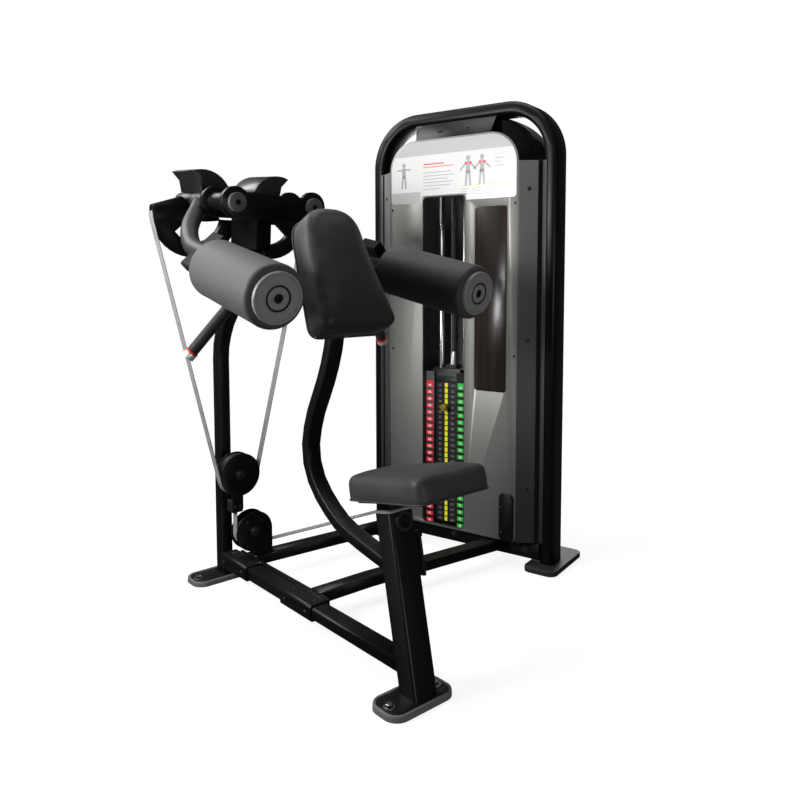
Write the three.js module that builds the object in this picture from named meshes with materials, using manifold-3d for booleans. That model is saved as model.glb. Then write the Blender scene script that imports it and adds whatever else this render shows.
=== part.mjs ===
// Lateral raise machine: a seat and chest station, two roller arms, and a turned weight tower.
// Millimetres, +Z up. X runs from the station to the tower, Y from the seat to the rear upright.
import * as THREE from 'three';
import { mergeVertices } from 'three/addons/utils/BufferGeometryUtils.js';
import Module from 'manifold-3d';

// Clearances
const seam = 0.3;
const slideGap = 0.8;
const runGap = 2;
const overrun = 40;

// Base frame of the station
const baseWidth = 55;
const baseHeight = 38;
const baseBottom = 53;
const baseRound = 8;
const sleeveWall = 5;
const frontSleeveStart = 435;
const frontSleeveLength = 162;
const rearSleeveStart = 811;
const rearSleeveLength = 167;
const setScrewRadius = 5;
const setScrewInset = 25;
const sideRailWidth = 18;
const sideRailDrop = 3;
const sideRailStart = 455;
const sideRailEnd = 978;
const railGroove = 4;
const crossWidth = 57;
const rearCrossStart = 920;
const rearCrossTurn = 3.75;
const frontCrossStart = 528;
const frontCrossTurn = 1.1;
const frontCrossKnee = 252;
const frontCrossKneeTurn = 5.5;
const crossReach = 900;

// Feet of the station
const footLength = 208;
const footWidth = 110;
const footRound = 40;
const bootHeight = 17;
const bootRim = 9;
const bootFloor = 6;
const plateHeight = 8;
const frontFootX = -18;
const frontFootY = 9;
const rearFootX = -22;
const rearFootY = 1017;
const footBoltInset = 28;
const footBoltRadius = 10;
const footBoltHeight = 7;

// Leaning seat upright, measured along its own lean
const postWidth = 76;
const postDepth = 62;
const postWall = 5;
const postRound = 8;
const postLean = 12;
const postFootY = 5.7;
const postLength = 465;
const postCavityStart = 40;
const lockBossRadius = 25.5;
const lockBossHeight = 8;
const lockBossDrop = 29;
const lockRecessRadius = 13;
const earDrop = 73;
const earWidth = 4;
const earHeight = 18;
const leverStand = 22;
const leverPinRadius = 4;
const leverBarrelRadius = 8;
const leverWidth = 26;
const leverThickness = 7;
const leverLength = 108;

// Seat post and seat pad
const seatPostStart = 190;
const seatBoardRise = 25;
const seatBoardThickness = 7;
const seatBoardWidth = 120;
const seatBoardLength = 200;
const seatPadLength = 340;
const seatPadNearHalf = 121;
const seatPadFarHalf = 77;
const seatPadThickness = 67;
const seatPadCorner = 36;
const seatPadCrown = 7;
const seatPadCentre = -75;

// Chest pad, leaning on the pad support
const chestLean = 26;
const chestFaceY = 271;
const chestFaceZ = 1050;
const chestLow = -150;
const chestHigh = 208;
const chestLowHalf = 127;
const chestHighHalf = 86;
const chestCorner = 38;
const chestTopCorner = 80;
const chestThickness = 93;
const chestCrown = 6;
const chestBoardWidth = 120;
const chestBoardLow = -95;
const chestBoardHigh = 40;
const chestBoardThickness = 6;

// Pad support, an S in the middle plane
const supportWidth = 48;
const supportDepth = 35;
const supportStart = 305;
const supportBendShares = [
  [0.75, 0.062], [1.07, 0.122], [1.327, 0.209], [1.448, 0.301], [1.459, 0.393], [1.371, 0.507],
];
const supportRiseShares = [
  [1.253, 0.599], [1.139, 0.691], [1.048, 0.794], [1, 0.897], [0.993, 1], [1.004, 1.096],
];

// Rear upright with its swan neck, in the middle plane
const neckWidth = 42;
const neckDepth = 50;
const neckCentreY = 1013;
const neckStraightTop = 760;
const neckShares = [
  [0.024, 0.122], [0.109, 0.25], [0.241, 0.373], [0.41, 0.481], [0.722, 0.68], [1.028, 0.881], [1.193, 0.99],
];

// Head: everything that turns the arms, laid out along its tilted axis
const headTilt = 4.8;
const headY = 631;
const headZ = 1252;
const hubSpread = 132;
const shaftRadius = 15;
const capRadius = 28;
const capLength = 13;
const capHoleRadius = 7;
const headPlateThickness = 14;
const headEyeRadius = 46;
const headWaistTop = 27;
const headWaistBottom = 47;
const barrelRadius = 27.5;
const barrelEnd = 140;
const headSpineWidth = 50;
const headColumnFront = 78;
const headColumnBack = 240;
const headColumnDrop = 138;
const armHubEnd = 262;
const shaftEnd = 369;
const hubRadius = 27;

// Arms and rollers, for the side at positive X
const armRadius = 25;
const armRouteShares = [
  [0.218, 0.064, 0.152], [0.528, 0.293, 0.42], [0.732, 0.628, 0.705], [0.91, 0.941, 0.933],
];
const rollerFront = [319, 124, 993];
const rollerBack = [296, 450, 1060];
const rollerRadius = 76.5;
const rollerEdge = 12;
const rollerCapRadius = 61;
const rollerCapStand = 12;
const rollerCapHole = 11;
const spindleRadius = 12;
const armTubeOverhang = 8;
const clampBlockPlace = 60;
const clampBlockAcross = 112;
const clampBlockAlong = 80;
const clampBlockThickness = 44;
const clampBlockRound = 16;
const clampBlockRoll = 45;

// Hand grips, for the side at positive X
const gripRadius = 15.5;
const gripTop = [238, 498, 958];
const gripEnd = [335, 550, 825];
const gripStemPlace = 36;
const gripBendShares = [
  [-0.45, 0.859, 0.32], [-0.595, 1.25, 0.604], [-0.252, 1.25, 0.861], [0.901, 0.94, 0.989],
];
const gripCollarRadius = 18;
const gripCollarLength = 5;
const gripCapRadius = 17;
const gripCapLength = 16;

// Belt cams and counterweights, measured from the arm axis: outward, then up
const camRadius = 140;
const camDrop = 37;
const camShift = 2;
const camPlace = 275;
const camThickness = 28;
const camStartAngle = 8;
const camEndAngle = -156;
const camOpenStart = -40;
const camOpenEnd = -168;
const camRimWidth = 48;
const camCrest = 11;
const camCrestPlace = 50;
const camWebDrop = 62;
const camWebReach = 33;
const weightRadius = 98;
const weightTipAngle = 67;
const weightHeelAngle = 156;
const weightHubStart = 190;
const weightHubEnd = 78;
const weightHollowX = 13;
const weightHollowZ = 64;
const weightStart = 219;

// Belts and pulleys of the station
const beltWidth = 27;
const beltThickness = 3;
const floatZ = 381;
const floatWheelRadius = 67;
const cheekRadius = 71.5;
const cheekThickness = 3.5;
const axleRadius = 8;
const axleHeadRadius = 12;
const axleHeadLength = 5;
const yokeClampX = -12;
const yokeClampTop = 296;
const yokeClampBottom = 255;
const yokeClampHalf = 20;
const baseWheelRadius = 43.5;
const baseWheelZ = 178;
const guardX = 49;
const guardRadius = 68;

// Weight tower, in its own frame: x along its front, y away from the station
const towerX = 747.4;
const towerY = 647.3;
const towerTurn = 14.4;
const hoopHalf = 385;
const hoopTop = 1651;
const hoopWidth = 46;
const hoopFront = 35;
const hoopDepth = 97;
const hoopCorner = 195;
const hoopEdge = 12;
const towerFootInner = 296;
const towerFootOuter = 418;
const towerFootFront = -15;
const towerFootBack = 249;
const towerFootHeight = 19;
const towerFootRound = 30;
const beamBottom = 32;
const beamHeight = 60;
const beamDepth = 60;
const panelFront = -15;
const panelThickness = 3;
const panelHalf = 269;
const panelDrop = 111;
const panelBottom = 96;
const panelCorner = 110;
const windowLeft = -121;
const windowRight = 60;
const windowDrop = 209;
const windowBottom = 104;
const windowCorner = 16;
const smokedLeft = 101;
const smokedRight = 228;
const smokedBottom = 628;
const smokedDrop = 256;
const smokedCorner = 12;
const beltSlotWidth = 44;
const beltSlotHeight = 30;
const coverOuter = 338;
const coverBottom = 96;
const coverDrop = 218;
const coverThickness = 3;
const coverLipWidth = 14;
const cornerCoverLeft = 207;
const cornerCoverRight = 262;
const cornerCoverTop = 268;
const cornerCoverStand = 5;
const bracketHalf = 157;
const bracketThickness = 6;
const bracketFoot = 30;
const shroudFront = 133;
const shroudBack = 190;
const shroudHalf = 338;
const shroudDrop = 27;
const shroudCorner = 270;
const shroudBottom = 60;
const shroudWall = 4;

// Weight stack and guides, in the tower's frame
const stackX = -30;
const stackFront = 8;
const stackDepth = 100;
const stackWidth = 220;
const platePitch = 20.4;
const plateCount = 26;
const liftedCount = 5;
const plateGroove = 1.5;
const grooveDepth = 30;
const stackBottom = 112;
const topPlateHeight = 52;
const topPlateWidth = 120;
const rodSpread = 51;
const rodRadius = 10;
const rodPlace = 58;
const selectorRadius = 11;
const selectorHeadHeight = 60;
const pinRadius = 5;
const pinKnobRadius = 13;
const pinKnobLength = 24;
const bumperRadius = 22;
const stripInner = 48;
const stripOuter = 87;
const stripFlange = 16;
const stripBack = 5;
const stripBottom = 96;
const stripTop = 682;

// Pulleys inside the tower
const towerWheelRadius = 45;
const lowWheelX = -232;
const lowWheelPlace = 60;
const topWheelDrop = 151;
const topWheelInset = 60;
const topShelfDrop = 64;
const yokePlate = 4;
const wheelWidth = 28;
const yokeSpan = 34;

// Fineness of round shapes
const bevelSteps = 2;
const arcSteps = 3;
const bigArcSteps = 10;
const wrapSteps = 8;
const twistSteps = 12;
const roundSides = 20;
const smallSides = 10;
const hexSides = 6;
const padAround = 40;

const deg = Math.PI / 180;
const wasm = await Module();
wasm.setup();

const baseTop = baseBottom + baseHeight;
const baseMiddle = baseBottom + baseHeight / 2;
const lockBossPlace = postLength - lockBossDrop;
const earPlace = postLength - earDrop;
const seatBoardPlace = postLength + seatBoardRise;
const panelTop = hoopTop - panelDrop;
const windowTop = panelTop - windowDrop;
const smokedTop = panelTop - smokedDrop;
const coverTop = hoopTop - coverDrop;
const shroudTop = hoopTop - shroudDrop;
const topWheelZ = hoopTop - topWheelDrop;
const vec = (x, y, z) => new THREE.Vector3(x, y, z);
const flat = (x, y) => new THREE.Vector2(x, y);

// Solids and their joins
function solidOf(geometry) {
  const bare = geometry.clone();
  bare.deleteAttribute('normal');
  bare.deleteAttribute('uv');
  const merged = mergeVertices(bare);
  const vertProperties = new Float32Array(merged.attributes.position.array);
  const triVerts = new Uint32Array(merged.index.array);
  return new wasm.Manifold(new wasm.Mesh({ numProp: 3, vertProperties, triVerts }));
}

function geometryOf(solid) {
  const { vertProperties, triVerts } = solid.getMesh();
  const geometry = new THREE.BufferGeometry();
  geometry.setAttribute('position', new THREE.BufferAttribute(vertProperties, 3));
  geometry.setIndex(new THREE.BufferAttribute(triVerts, 1));
  geometry.computeVertexNormals();
  return geometry;
}

function join(...geometries) {
  return geometryOf(geometries.map(solidOf).reduce((sum, solid) => sum.add(solid)));
}

function cut(geometry, ...tools) {
  return geometryOf(tools.map(solidOf).reduce((rest, tool) => rest.subtract(tool), solidOf(geometry)));
}

// Outlines pushed along an axis: x takes (y, z) outlines, y takes (x, z), z takes (x, y)
const pushAlong = {
  x: new THREE.Matrix4().makeBasis(vec(0, 1, 0), vec(0, 0, 1), vec(1, 0, 0)),
  y: new THREE.Matrix4().makeBasis(vec(1, 0, 0), vec(0, 0, 1), vec(0, -1, 0)),
  z: new THREE.Matrix4(),
};

function plate(outline, axis, low, high, round = 0, steps = arcSteps) {
  const shape = Array.isArray(outline) ? new THREE.Shape(outline) : outline;
  const geometry = new THREE.ExtrudeGeometry(shape, {
    depth: high - low - 2 * round,
    bevelEnabled: round > 0,
    bevelThickness: round,
    bevelSize: round,
    bevelOffset: -round,
    bevelSegments: bevelSteps,
    curveSegments: steps,
  });
  geometry.translate(0, 0, round + (axis === 'y' ? -high : low));
  return geometry.applyMatrix4(pushAlong[axis]);
}

function box(x0, x1, y0, y1, z0, z1) {
  const geometry = new THREE.BoxGeometry(x1 - x0, y1 - y0, z1 - z0);
  return geometry.translate((x0 + x1) / 2, (y0 + y1) / 2, (z0 + z1) / 2);
}

function roundedRect(x0, y0, x1, y1, radius, topRadius = radius) {
  const shape = new THREE.Shape();
  shape.moveTo(x0 + radius, y0);
  shape.lineTo(x1 - radius, y0);
  shape.absarc(x1 - radius, y0 + radius, radius, -Math.PI / 2, 0);
  shape.lineTo(x1, y1 - topRadius);
  shape.absarc(x1 - topRadius, y1 - topRadius, topRadius, 0, Math.PI / 2);
  shape.lineTo(x0 + topRadius, y1);
  shape.absarc(x0 + topRadius, y1 - topRadius, topRadius, Math.PI / 2, Math.PI);
  shape.lineTo(x0, y0 + radius);
  shape.absarc(x0 + radius, y0 + radius, radius, Math.PI, 1.5 * Math.PI);
  return shape;
}

function ring(radius, sides = roundSides, x = 0, y = 0) {
  const points = [];
  for (let i = 0; i < sides; i += 1) {
    const angle = (2 * Math.PI * (i + 0.5)) / sides;
    points.push(flat(x + radius * Math.cos(angle), y + radius * Math.sin(angle)));
  }
  return points;
}

function arc(x, y, radius, from, to, steps) {
  const points = [];
  for (let i = 0; i <= steps; i += 1) {
    const angle = (from + ((to - from) * i) / steps) * deg;
    points.push(flat(x + radius * Math.cos(angle), y + radius * Math.sin(angle)));
  }
  return points;
}

function rod(from, to, radius, sides = roundSides) {
  const line = to.clone().sub(from);
  const geometry = new THREE.CylinderGeometry(radius, radius, line.length(), sides);
  const turn = new THREE.Quaternion().setFromUnitVectors(vec(0, 1, 0), line.clone().normalize());
  const middle = from.clone().add(to).multiplyScalar(1 / 2);
  return geometry.applyQuaternion(turn).translate(middle.x, middle.y, middle.z);
}

function pipe(points, radius, steps, sides = smallSides) {
  const curve = new THREE.CatmullRomCurve3(points, false, 'centripetal');
  const section = new THREE.Shape(ring(radius, sides));
  return new THREE.ExtrudeGeometry(section, { extrudePath: curve, steps, bevelEnabled: false });
}

// A band of even width along a line of points
function band(points, width) {
  const sides = [-1, 1].map((side) => points.map((spot, i) => {
    const before = points[Math.max(i - 1, 0)];
    const after = points[Math.min(i + 1, points.length - 1)];
    const along = after.clone().sub(before).normalize();
    return flat(spot.x - (side * along.y * width) / 2, spot.y + (side * along.x * width) / 2);
  }));
  return [...sides[0], ...sides[1].reverse()];
}

function smooth(points, steps) {
  return new THREE.SplineCurve(points.map(([x, y]) => flat(x, y))).getSpacedPoints(steps);
}

function piece(name, geometry, color, roughness, metalness = 0) {
  const material = new THREE.MeshStandardMaterial({ color, roughness, metalness });
  const mesh = new THREE.Mesh(geometry, material);
  mesh.name = name;
  return mesh;
}

const blackPaint = [0x0c0c0c, 0.45, 0.3];
const steel = [0xb4b4b8, 0.25, 1];
const rubber = [0x1a1a1a, 0.8];
const greyPanel = [0x8b8a88, 0.4];
const beltGrey = [0x9a9a94, 0.6];

// Places of the leaning post, the tilted head and the turned tower
const postPlace = new THREE.Matrix4().makeRotationX(-postLean * deg).setPosition(0, postFootY, 0);
const headPlace = new THREE.Matrix4().makeRotationX(headTilt * deg).setPosition(0, headY, headZ);
const headInverse = headPlace.clone().invert();
const towerPlace = new THREE.Matrix4().makeRotationZ((towerTurn - 90) * deg).setPosition(towerX, towerY, 0);
const towerInverse = towerPlace.clone().invert();
const placed = (geometry, matrix) => geometry.clone().applyMatrix4(matrix);

function frame(matrix) {
  const group = new THREE.Group();
  matrix.decompose(group.position, group.quaternion, group.scale);
  return group;
}

// Base tube, sleeves, side rail and cross tubes
function postBody(grow) {
  const halfWidth = postWidth / 2 + grow;
  const halfDepth = postDepth / 2 + grow;
  return plate(roundedRect(-halfWidth, -halfDepth, halfWidth, halfDepth, postRound), 'z', 0, postLength);
}

function baseTube() {
  const section = roundedRect(-baseWidth / 2, baseBottom, baseWidth / 2, baseTop, baseRound);
  const tube = plate(section, 'y', postFootY, neckCentreY - neckDepth / 2 - seam);
  return piece('base_tube', cut(tube, placed(postBody(seam), postPlace)), ...blackPaint);
}

const sleeveHalf = baseWidth / 2 + slideGap + sleeveWall;

function sleeve(name, start, length) {
  const gap = slideGap;
  const wall = slideGap + sleeveWall;
  const innerHalf = baseWidth / 2 + gap;
  const outer = roundedRect(-sleeveHalf, baseBottom - wall, sleeveHalf, baseTop + wall, baseRound + wall / 2);
  const inner = roundedRect(-innerHalf, baseBottom - gap, innerHalf, baseTop + gap, baseRound);
  const hollow = plate(inner, 'y', start - overrun, start + length + overrun);
  const body = cut(plate(outer, 'y', start, start + length), hollow);
  const screws = [start + setScrewInset, start + length - setScrewInset].map((y) => {
    const headFace = vec(-sleeveHalf - gap, y, baseMiddle);
    return rod(headFace, vec(sleeveWall / 2 - sleeveHalf, y, baseMiddle), setScrewRadius, smallSides);
  });
  return piece(name, join(body, ...screws), ...blackPaint);
}

const railFace = sleeveHalf + seam;
const railBack = railFace + sideRailWidth;

function sideRail() {
  const top = baseTop - sideRailDrop;
  const rail = box(railFace, railBack, sideRailStart, sideRailEnd, baseBottom, top);
  const middle = (railFace + railBack) / 2;
  const from = sideRailStart - overrun;
  const to = sideRailEnd + overrun;
  const groove = box(middle - railGroove, middle, from, to, top - railGroove, top + overrun);
  return piece('side_rail', cut(rail, groove), ...blackPaint);
}

function towardTower(start, turn, length) {
  return flat(start.x + length * Math.cos(turn * deg), start.y - length * Math.sin(turn * deg));
}

function crossTube(name, points) {
  const reach = towerFootOuter;
  const behind = box(-reach, reach, hoopFront - seam, crossReach, 0, beamBottom + beamHeight + overrun);
  const beside = box(-reach, railBack + seam, -reach, crossReach + reach, 0, baseTop + overrun);
  const tube = plate(band(points, crossWidth), 'z', baseBottom, baseTop, baseRound);
  return piece(name, cut(tube, placed(behind, towerPlace), beside), ...blackPaint);
}

function crossTubes() {
  const rearStart = flat(railFace, rearCrossStart);
  const frontStart = flat(railFace, frontCrossStart);
  const knee = towardTower(frontStart, frontCrossTurn, frontCrossKnee - frontStart.x);
  return [
    crossTube('rear_cross_tube', [rearStart, towardTower(rearStart, rearCrossTurn, crossReach)]),
    crossTube('front_cross_tube', [frontStart, knee, towardTower(knee, frontCrossKneeTurn, crossReach)]),
  ];
}

// Feet: a rubber boot with a rim, holding the steel plate of its upright
function footOutline(x, y, inset) {
  const halfLength = footLength / 2 - inset;
  const halfWidth = footWidth / 2 - inset;
  return roundedRect(x - halfLength, y - halfWidth, x + halfLength, y + halfWidth, footRound - inset);
}

function boot(name, x, y) {
  const body = plate(footOutline(x, y, 0), 'z', 0, bootHeight);
  const pocket = plate(footOutline(x, y, bootRim), 'z', bootFloor, bootHeight + overrun);
  return piece(name, cut(body, pocket), ...rubber);
}

function footPlate(x, y) {
  const bottom = bootFloor + seam;
  const base = plate(footOutline(x, y, bootRim + seam), 'z', bottom, bottom + plateHeight);
  const bolts = [-1, 1].map((side) => {
    const boltX = x + side * (footLength / 2 - footBoltInset);
    const top = bottom + plateHeight + footBoltHeight;
    return rod(vec(boltX, y, bottom), vec(boltX, y, top), footBoltRadius, hexSides);
  });
  return join(base, ...bolts);
}

function seatUpright() {
  const inner = postWidth / 2 - postWall;
  const innerDepth = postDepth / 2 - postWall;
  const frontFace = -postDepth / 2;
  const sideFace = postWidth / 2;
  const bore = roundedRect(-inner, -innerDepth, inner, innerDepth, postRound - postWall / 2);
  const cavity = plate(bore, 'z', postCavityStart, postLength + overrun);
  const atBoss = (y) => vec(0, frontFace + y, lockBossPlace);
  const boss = rod(atBoss(postWall / 2), atBoss(-lockBossHeight), lockBossRadius);
  const recess = rod(atBoss(-lockBossHeight / 2), atBoss(-overrun), lockRecessRadius, hexSides);
  const tube = cut(join(cut(postBody(0), cavity), boss), recess);
  const pinX = sideFace + leverStand;
  const earSide = leverWidth / 2 + seam + earWidth;
  const ears = [-1, 1].map((side) => {
    const near = side * (earSide - earWidth);
    const far = side * earSide;
    const low = earPlace - earHeight / 2;
    const wallX = sideFace - postWall / 2;
    const earEnd = pinX + leverBarrelRadius;
    return box(wallX, earEnd, Math.min(near, far), Math.max(near, far), low, low + earHeight);
  });
  const pin = rod(vec(pinX, -earSide, earPlace), vec(pinX, earSide, earPlace), leverPinRadius, smallSides);
  const leaning = placed(join(tube, ...ears, pin), postPlace);
  const footMiddle = bootFloor + seam + plateHeight / 2;
  const under = box(-footLength, footLength, -footLength, footLength, -overrun, footMiddle);
  return piece('seat_upright', join(cut(leaning, under), footPlate(frontFootX, frontFootY)), ...blackPaint);
}

function seatLever() {
  const pinX = postWidth / 2 + leverStand;
  const half = leverWidth / 2;
  const outerFace = pinX + leverBarrelRadius;
  const atPin = (y) => vec(pinX, y, earPlace);
  const barrel = rod(atPin(-half), atPin(half), leverBarrelRadius, smallSides);
  const paddle = box(outerFace - leverThickness, outerFace, -half, half, earPlace - leverLength, earPlace);
  const bore = rod(atPin(-overrun), atPin(overrun), leverPinRadius + seam, smallSides);
  return piece('seat_lever', cut(join(barrel, paddle), bore), ...rubber);
}

function seatPost() {
  const halfWidth = postWidth / 2 - postWall - slideGap;
  const halfDepth = postDepth / 2 - postWall - slideGap;
  const section = roundedRect(-halfWidth, -halfDepth, halfWidth, halfDepth, postRound - postWall / 2);
  const tube = plate(section, 'z', seatPostStart, seatBoardPlace + seatBoardThickness / 2);
  const half = seatBoardWidth / 2;
  const near = (seatPadCentre - seatBoardLength) / 2;
  const top = seatBoardPlace + seatBoardThickness;
  const board = box(-half, half, near, near + seatBoardLength, seatBoardPlace, top);
  return piece('seat_post', join(tube, board), ...blackPaint);
}

// Cushions: rings of one outline, drawn in at the board, full at the side and crowned on top
const padSideShares = [
  [0.07, 0], [0.02, 0.12], [0, 0.4], [0.005, 0.66], [0.04, 0.86], [0.11, 0.965], [0.22, 1],
];
const crownShares = [[0.42, 0.6], [0.68, 0.88]];

function cushion(outline, thickness, crown) {
  const around = outline.getSpacedPoints(padAround).slice(0, padAround);
  const turnwise = THREE.ShapeUtils.isClockWise(around) ? [...around].reverse() : around;
  const bounds = new THREE.Box2().setFromPoints(turnwise);
  const centre = bounds.getCenter(flat(0, 0));
  const reach = bounds.getSize(flat(0, 0)).x / 2;
  const rings = [
    ...padSideShares.map(([inset, height]) => [inset * reach, height * thickness]),
    ...crownShares.map(([inset, rise]) => [inset * reach, thickness + rise * crown]),
  ];
  const spots = [];
  for (const [inset, height] of rings) {
    for (const spot of turnwise) {
      const away = spot.clone().sub(centre);
      const shrink = 1 - inset / Math.max(reach, away.length() * (1 - inset / reach) + inset);
      spots.push(centre.x + away.x * (1 - inset / reach), centre.y + away.y * shrink, height);
    }
  }
  const low = spots.length / 3;
  spots.push(centre.x, centre.y, 0, centre.x, centre.y, thickness + crown);
  const faces = [];
  for (let i = 0; i < padAround; i += 1) {
    const next = (i + 1) % padAround;
    const last = (rings.length - 1) * padAround;
    faces.push(low, next, i, low + 1, last + i, last + next);
    for (let k = 0; k < rings.length - 1; k += 1) {
      const a = k * padAround;
      const b = a + padAround;
      faces.push(a + i, a + next, b + i, a + next, b + next, b + i);
    }
  }
  const geometry = new THREE.BufferGeometry();
  geometry.setAttribute('position', new THREE.Float32BufferAttribute(spots, 3));
  geometry.setIndex(faces);
  geometry.computeVertexNormals();
  return geometry;
}

// A four-sided outline with round corners: half widths at its two ends, and a radius for each end
function padOutline(low, high, lowHalf, highHalf, lowCorner, highCorner) {
  const corners = [
    [-lowHalf, low, lowCorner], [lowHalf, low, lowCorner],
    [highHalf, high, highCorner], [-highHalf, high, highCorner],
  ];
  const shape = new THREE.Shape();
  corners.forEach(([x, y, corner], i) => {
    const here = flat(x, y);
    const from = flat(...corners[(i + 3) % 4]).sub(here).normalize();
    const to = flat(...corners[(i + 1) % 4]).sub(here).normalize();
    const enter = here.clone().addScaledVector(from, corner);
    const leave = here.clone().addScaledVector(to, corner);
    if (i === 0) {
      shape.moveTo(enter.x, enter.y);
    } else {
      shape.lineTo(enter.x, enter.y);
    }
    shape.quadraticCurveTo(x, y, leave.x, leave.y);
  });
  shape.closePath();
  return shape;
}

function seatPad() {
  const low = seatPadCentre - seatPadLength / 2;
  const high = low + seatPadLength;
  const outline = padOutline(low, high, seatPadNearHalf, seatPadFarHalf, seatPadCorner, seatPadCorner);
  const pad = cushion(outline, seatPadThickness, seatPadCrown);
  pad.translate(0, 0, seatBoardPlace + seatBoardThickness + seam);
  return piece('seat_pad', pad, 0x1d1d1b, 0.6);
}

// The chest pad's own frame: x across, y up its face, z out of its face towards the user
const chestPlace = new THREE.Matrix4()
  .makeRotationX((90 - chestLean) * deg)
  .setPosition(0, chestFaceY, chestFaceZ);

function chestPad() {
  const outline = padOutline(chestLow, chestHigh, chestLowHalf, chestHighHalf, chestCorner, chestTopCorner);
  const pad = cushion(outline, chestThickness, chestCrown);
  pad.translate(0, 0, -chestThickness);
  return piece('chest_pad', placed(pad, chestPlace), 0x1b1b1b, 0.65);
}

function padSupport() {
  const back = -chestThickness - seam;
  const startY = postFootY + supportStart * Math.tan(postLean * deg);
  const top = vec(0, (chestBoardLow + chestBoardHigh) / 2, back).applyMatrix4(chestPlace);
  const bends = [[0, 0], ...supportBendShares, ...supportRiseShares].map(([y, z]) => (
    [startY + y * (top.y - startY), supportStart + z * (top.z - supportStart)]));
  const reach = supportWidth / 2;
  const tube = plate(band(smooth(bends, roundSides), supportDepth), 'x', -reach, reach, baseRound);
  const half = chestBoardWidth / 2;
  const board = box(-half, half, chestBoardLow, chestBoardHigh, back - chestBoardThickness, back);
  const front = box(-chestBoardWidth, chestBoardWidth, chestLow - overrun, chestHigh, back, chestThickness);
  const held = join(tube, placed(board, chestPlace));
  const whole = cut(held, placed(front, chestPlace), placed(postBody(seam), postPlace));
  return piece('pad_support', whole, ...blackPaint);
}

// Rear upright: straight up from its foot, then leaning forward into the head's column
function rearUpright() {
  const bottom = bootFloor + seam + plateHeight / 2;
  const column = vec(0, (headColumnFront + headColumnBack) / 2, -headColumnDrop).applyMatrix4(headPlace);
  const bends = [[0, 0], ...neckShares].map(([y, z]) => (
    [neckCentreY + y * (column.y - neckCentreY), neckStraightTop + z * (column.z - neckStraightTop)]));
  const route = [flat(neckCentreY, bottom), ...smooth(bends, roundSides / 2)];
  const tube = plate(band(route, neckDepth), 'x', -neckWidth / 2, neckWidth / 2, baseRound);
  const headSpace = box(-neckWidth, neckWidth, 0, shaftEnd, -headColumnDrop - seam, headEyeRadius);
  const above = placed(headSpace, headPlace);
  return piece('rear_upright', join(cut(tube, above), footPlate(rearFootX, rearFootY)), ...blackPaint);
}

// Head bracket in the head's frame: y along the arm axis, z up
function headBracket() {
  const start = capLength + seam;
  const end = barrelEnd + headPlateThickness;
  const half = headSpineWidth / 2;
  const onAxes = (from, to, radius) => [-1, 1].map((side) => (
    rod(vec(side * hubSpread, from, 0), vec(side * hubSpread, to, 0), radius)));
  const crossPlate = (low) => {
    const high = low + headPlateThickness;
    const waist = box(-hubSpread, hubSpread, low, high, -headWaistBottom, headWaistTop);
    return [waist, ...onAxes(low, high, headEyeRadius)];
  };
  const spineFront = start + headPlateThickness / 2;
  const spine = box(-half, half, spineFront, headColumnBack, -headWaistBottom, headWaistTop);
  const column = box(-half, half, headColumnFront, headColumnBack, -headColumnDrop, -headWaistBottom);
  const plates = [...crossPlate(start), ...crossPlate(barrelEnd)];
  const solid = join(...plates, ...onAxes(start, end, barrelRadius), spine, column);
  const bores = onAxes(-overrun, shaftEnd, shaftRadius + seam);
  return piece('head_bracket', cut(solid, ...bores), ...blackPaint);
}

function pivotShaft(side, name) {
  const x = side * hubSpread;
  const cap = plate(ring(capRadius, roundSides, x), 'y', 0, capLength, seam);
  const shaft = rod(vec(x, capLength / 2, 0), vec(x, shaftEnd, 0), shaftRadius);
  const hole = rod(vec(x, -overrun, 0), vec(x, capLength / 2, 0), capHoleRadius, hexSides);
  return piece(name, cut(join(cap, shaft), hole), 0x55565a, 0.35, 0.8);
}

const sided = (values, side) => vec(side * values[0], values[1], values[2]);

// Places between two points, as shares of the way in x, y and z
const between = (from, to, shares) => shares.map(([x, y, z]) => (
  vec(x, y, z).multiply(to.clone().sub(from)).add(from)));

function rollerAxis(side) {
  const front = sided(rollerFront, side);
  const back = sided(rollerBack, side);
  const along = back.clone().sub(front);
  const length = along.length();
  along.normalize();
  const at = (distance) => front.clone().addScaledVector(along, distance);
  return { front, along, length, at };
}

function clampBlock(side, grow) {
  const axis = rollerAxis(side);
  const across = clampBlockAcross / 2 + grow;
  const thick = clampBlockThickness / 2 + grow;
  const section = roundedRect(-across, -thick, across, thick, clampBlockRound);
  const block = plate(section, 'z', -grow, clampBlockAlong + grow);
  const outward = vec(1, 0, 0).addScaledVector(axis.along, -axis.along.x).normalize();
  const aim = new THREE.Matrix4().makeBasis(outward, axis.along.clone().cross(outward), axis.along);
  aim.setPosition(axis.at(axis.length + clampBlockPlace));
  const roll = new THREE.Matrix4().makeRotationZ(side * clampBlockRoll * deg);
  return block.applyMatrix4(roll).applyMatrix4(aim);
}

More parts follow.
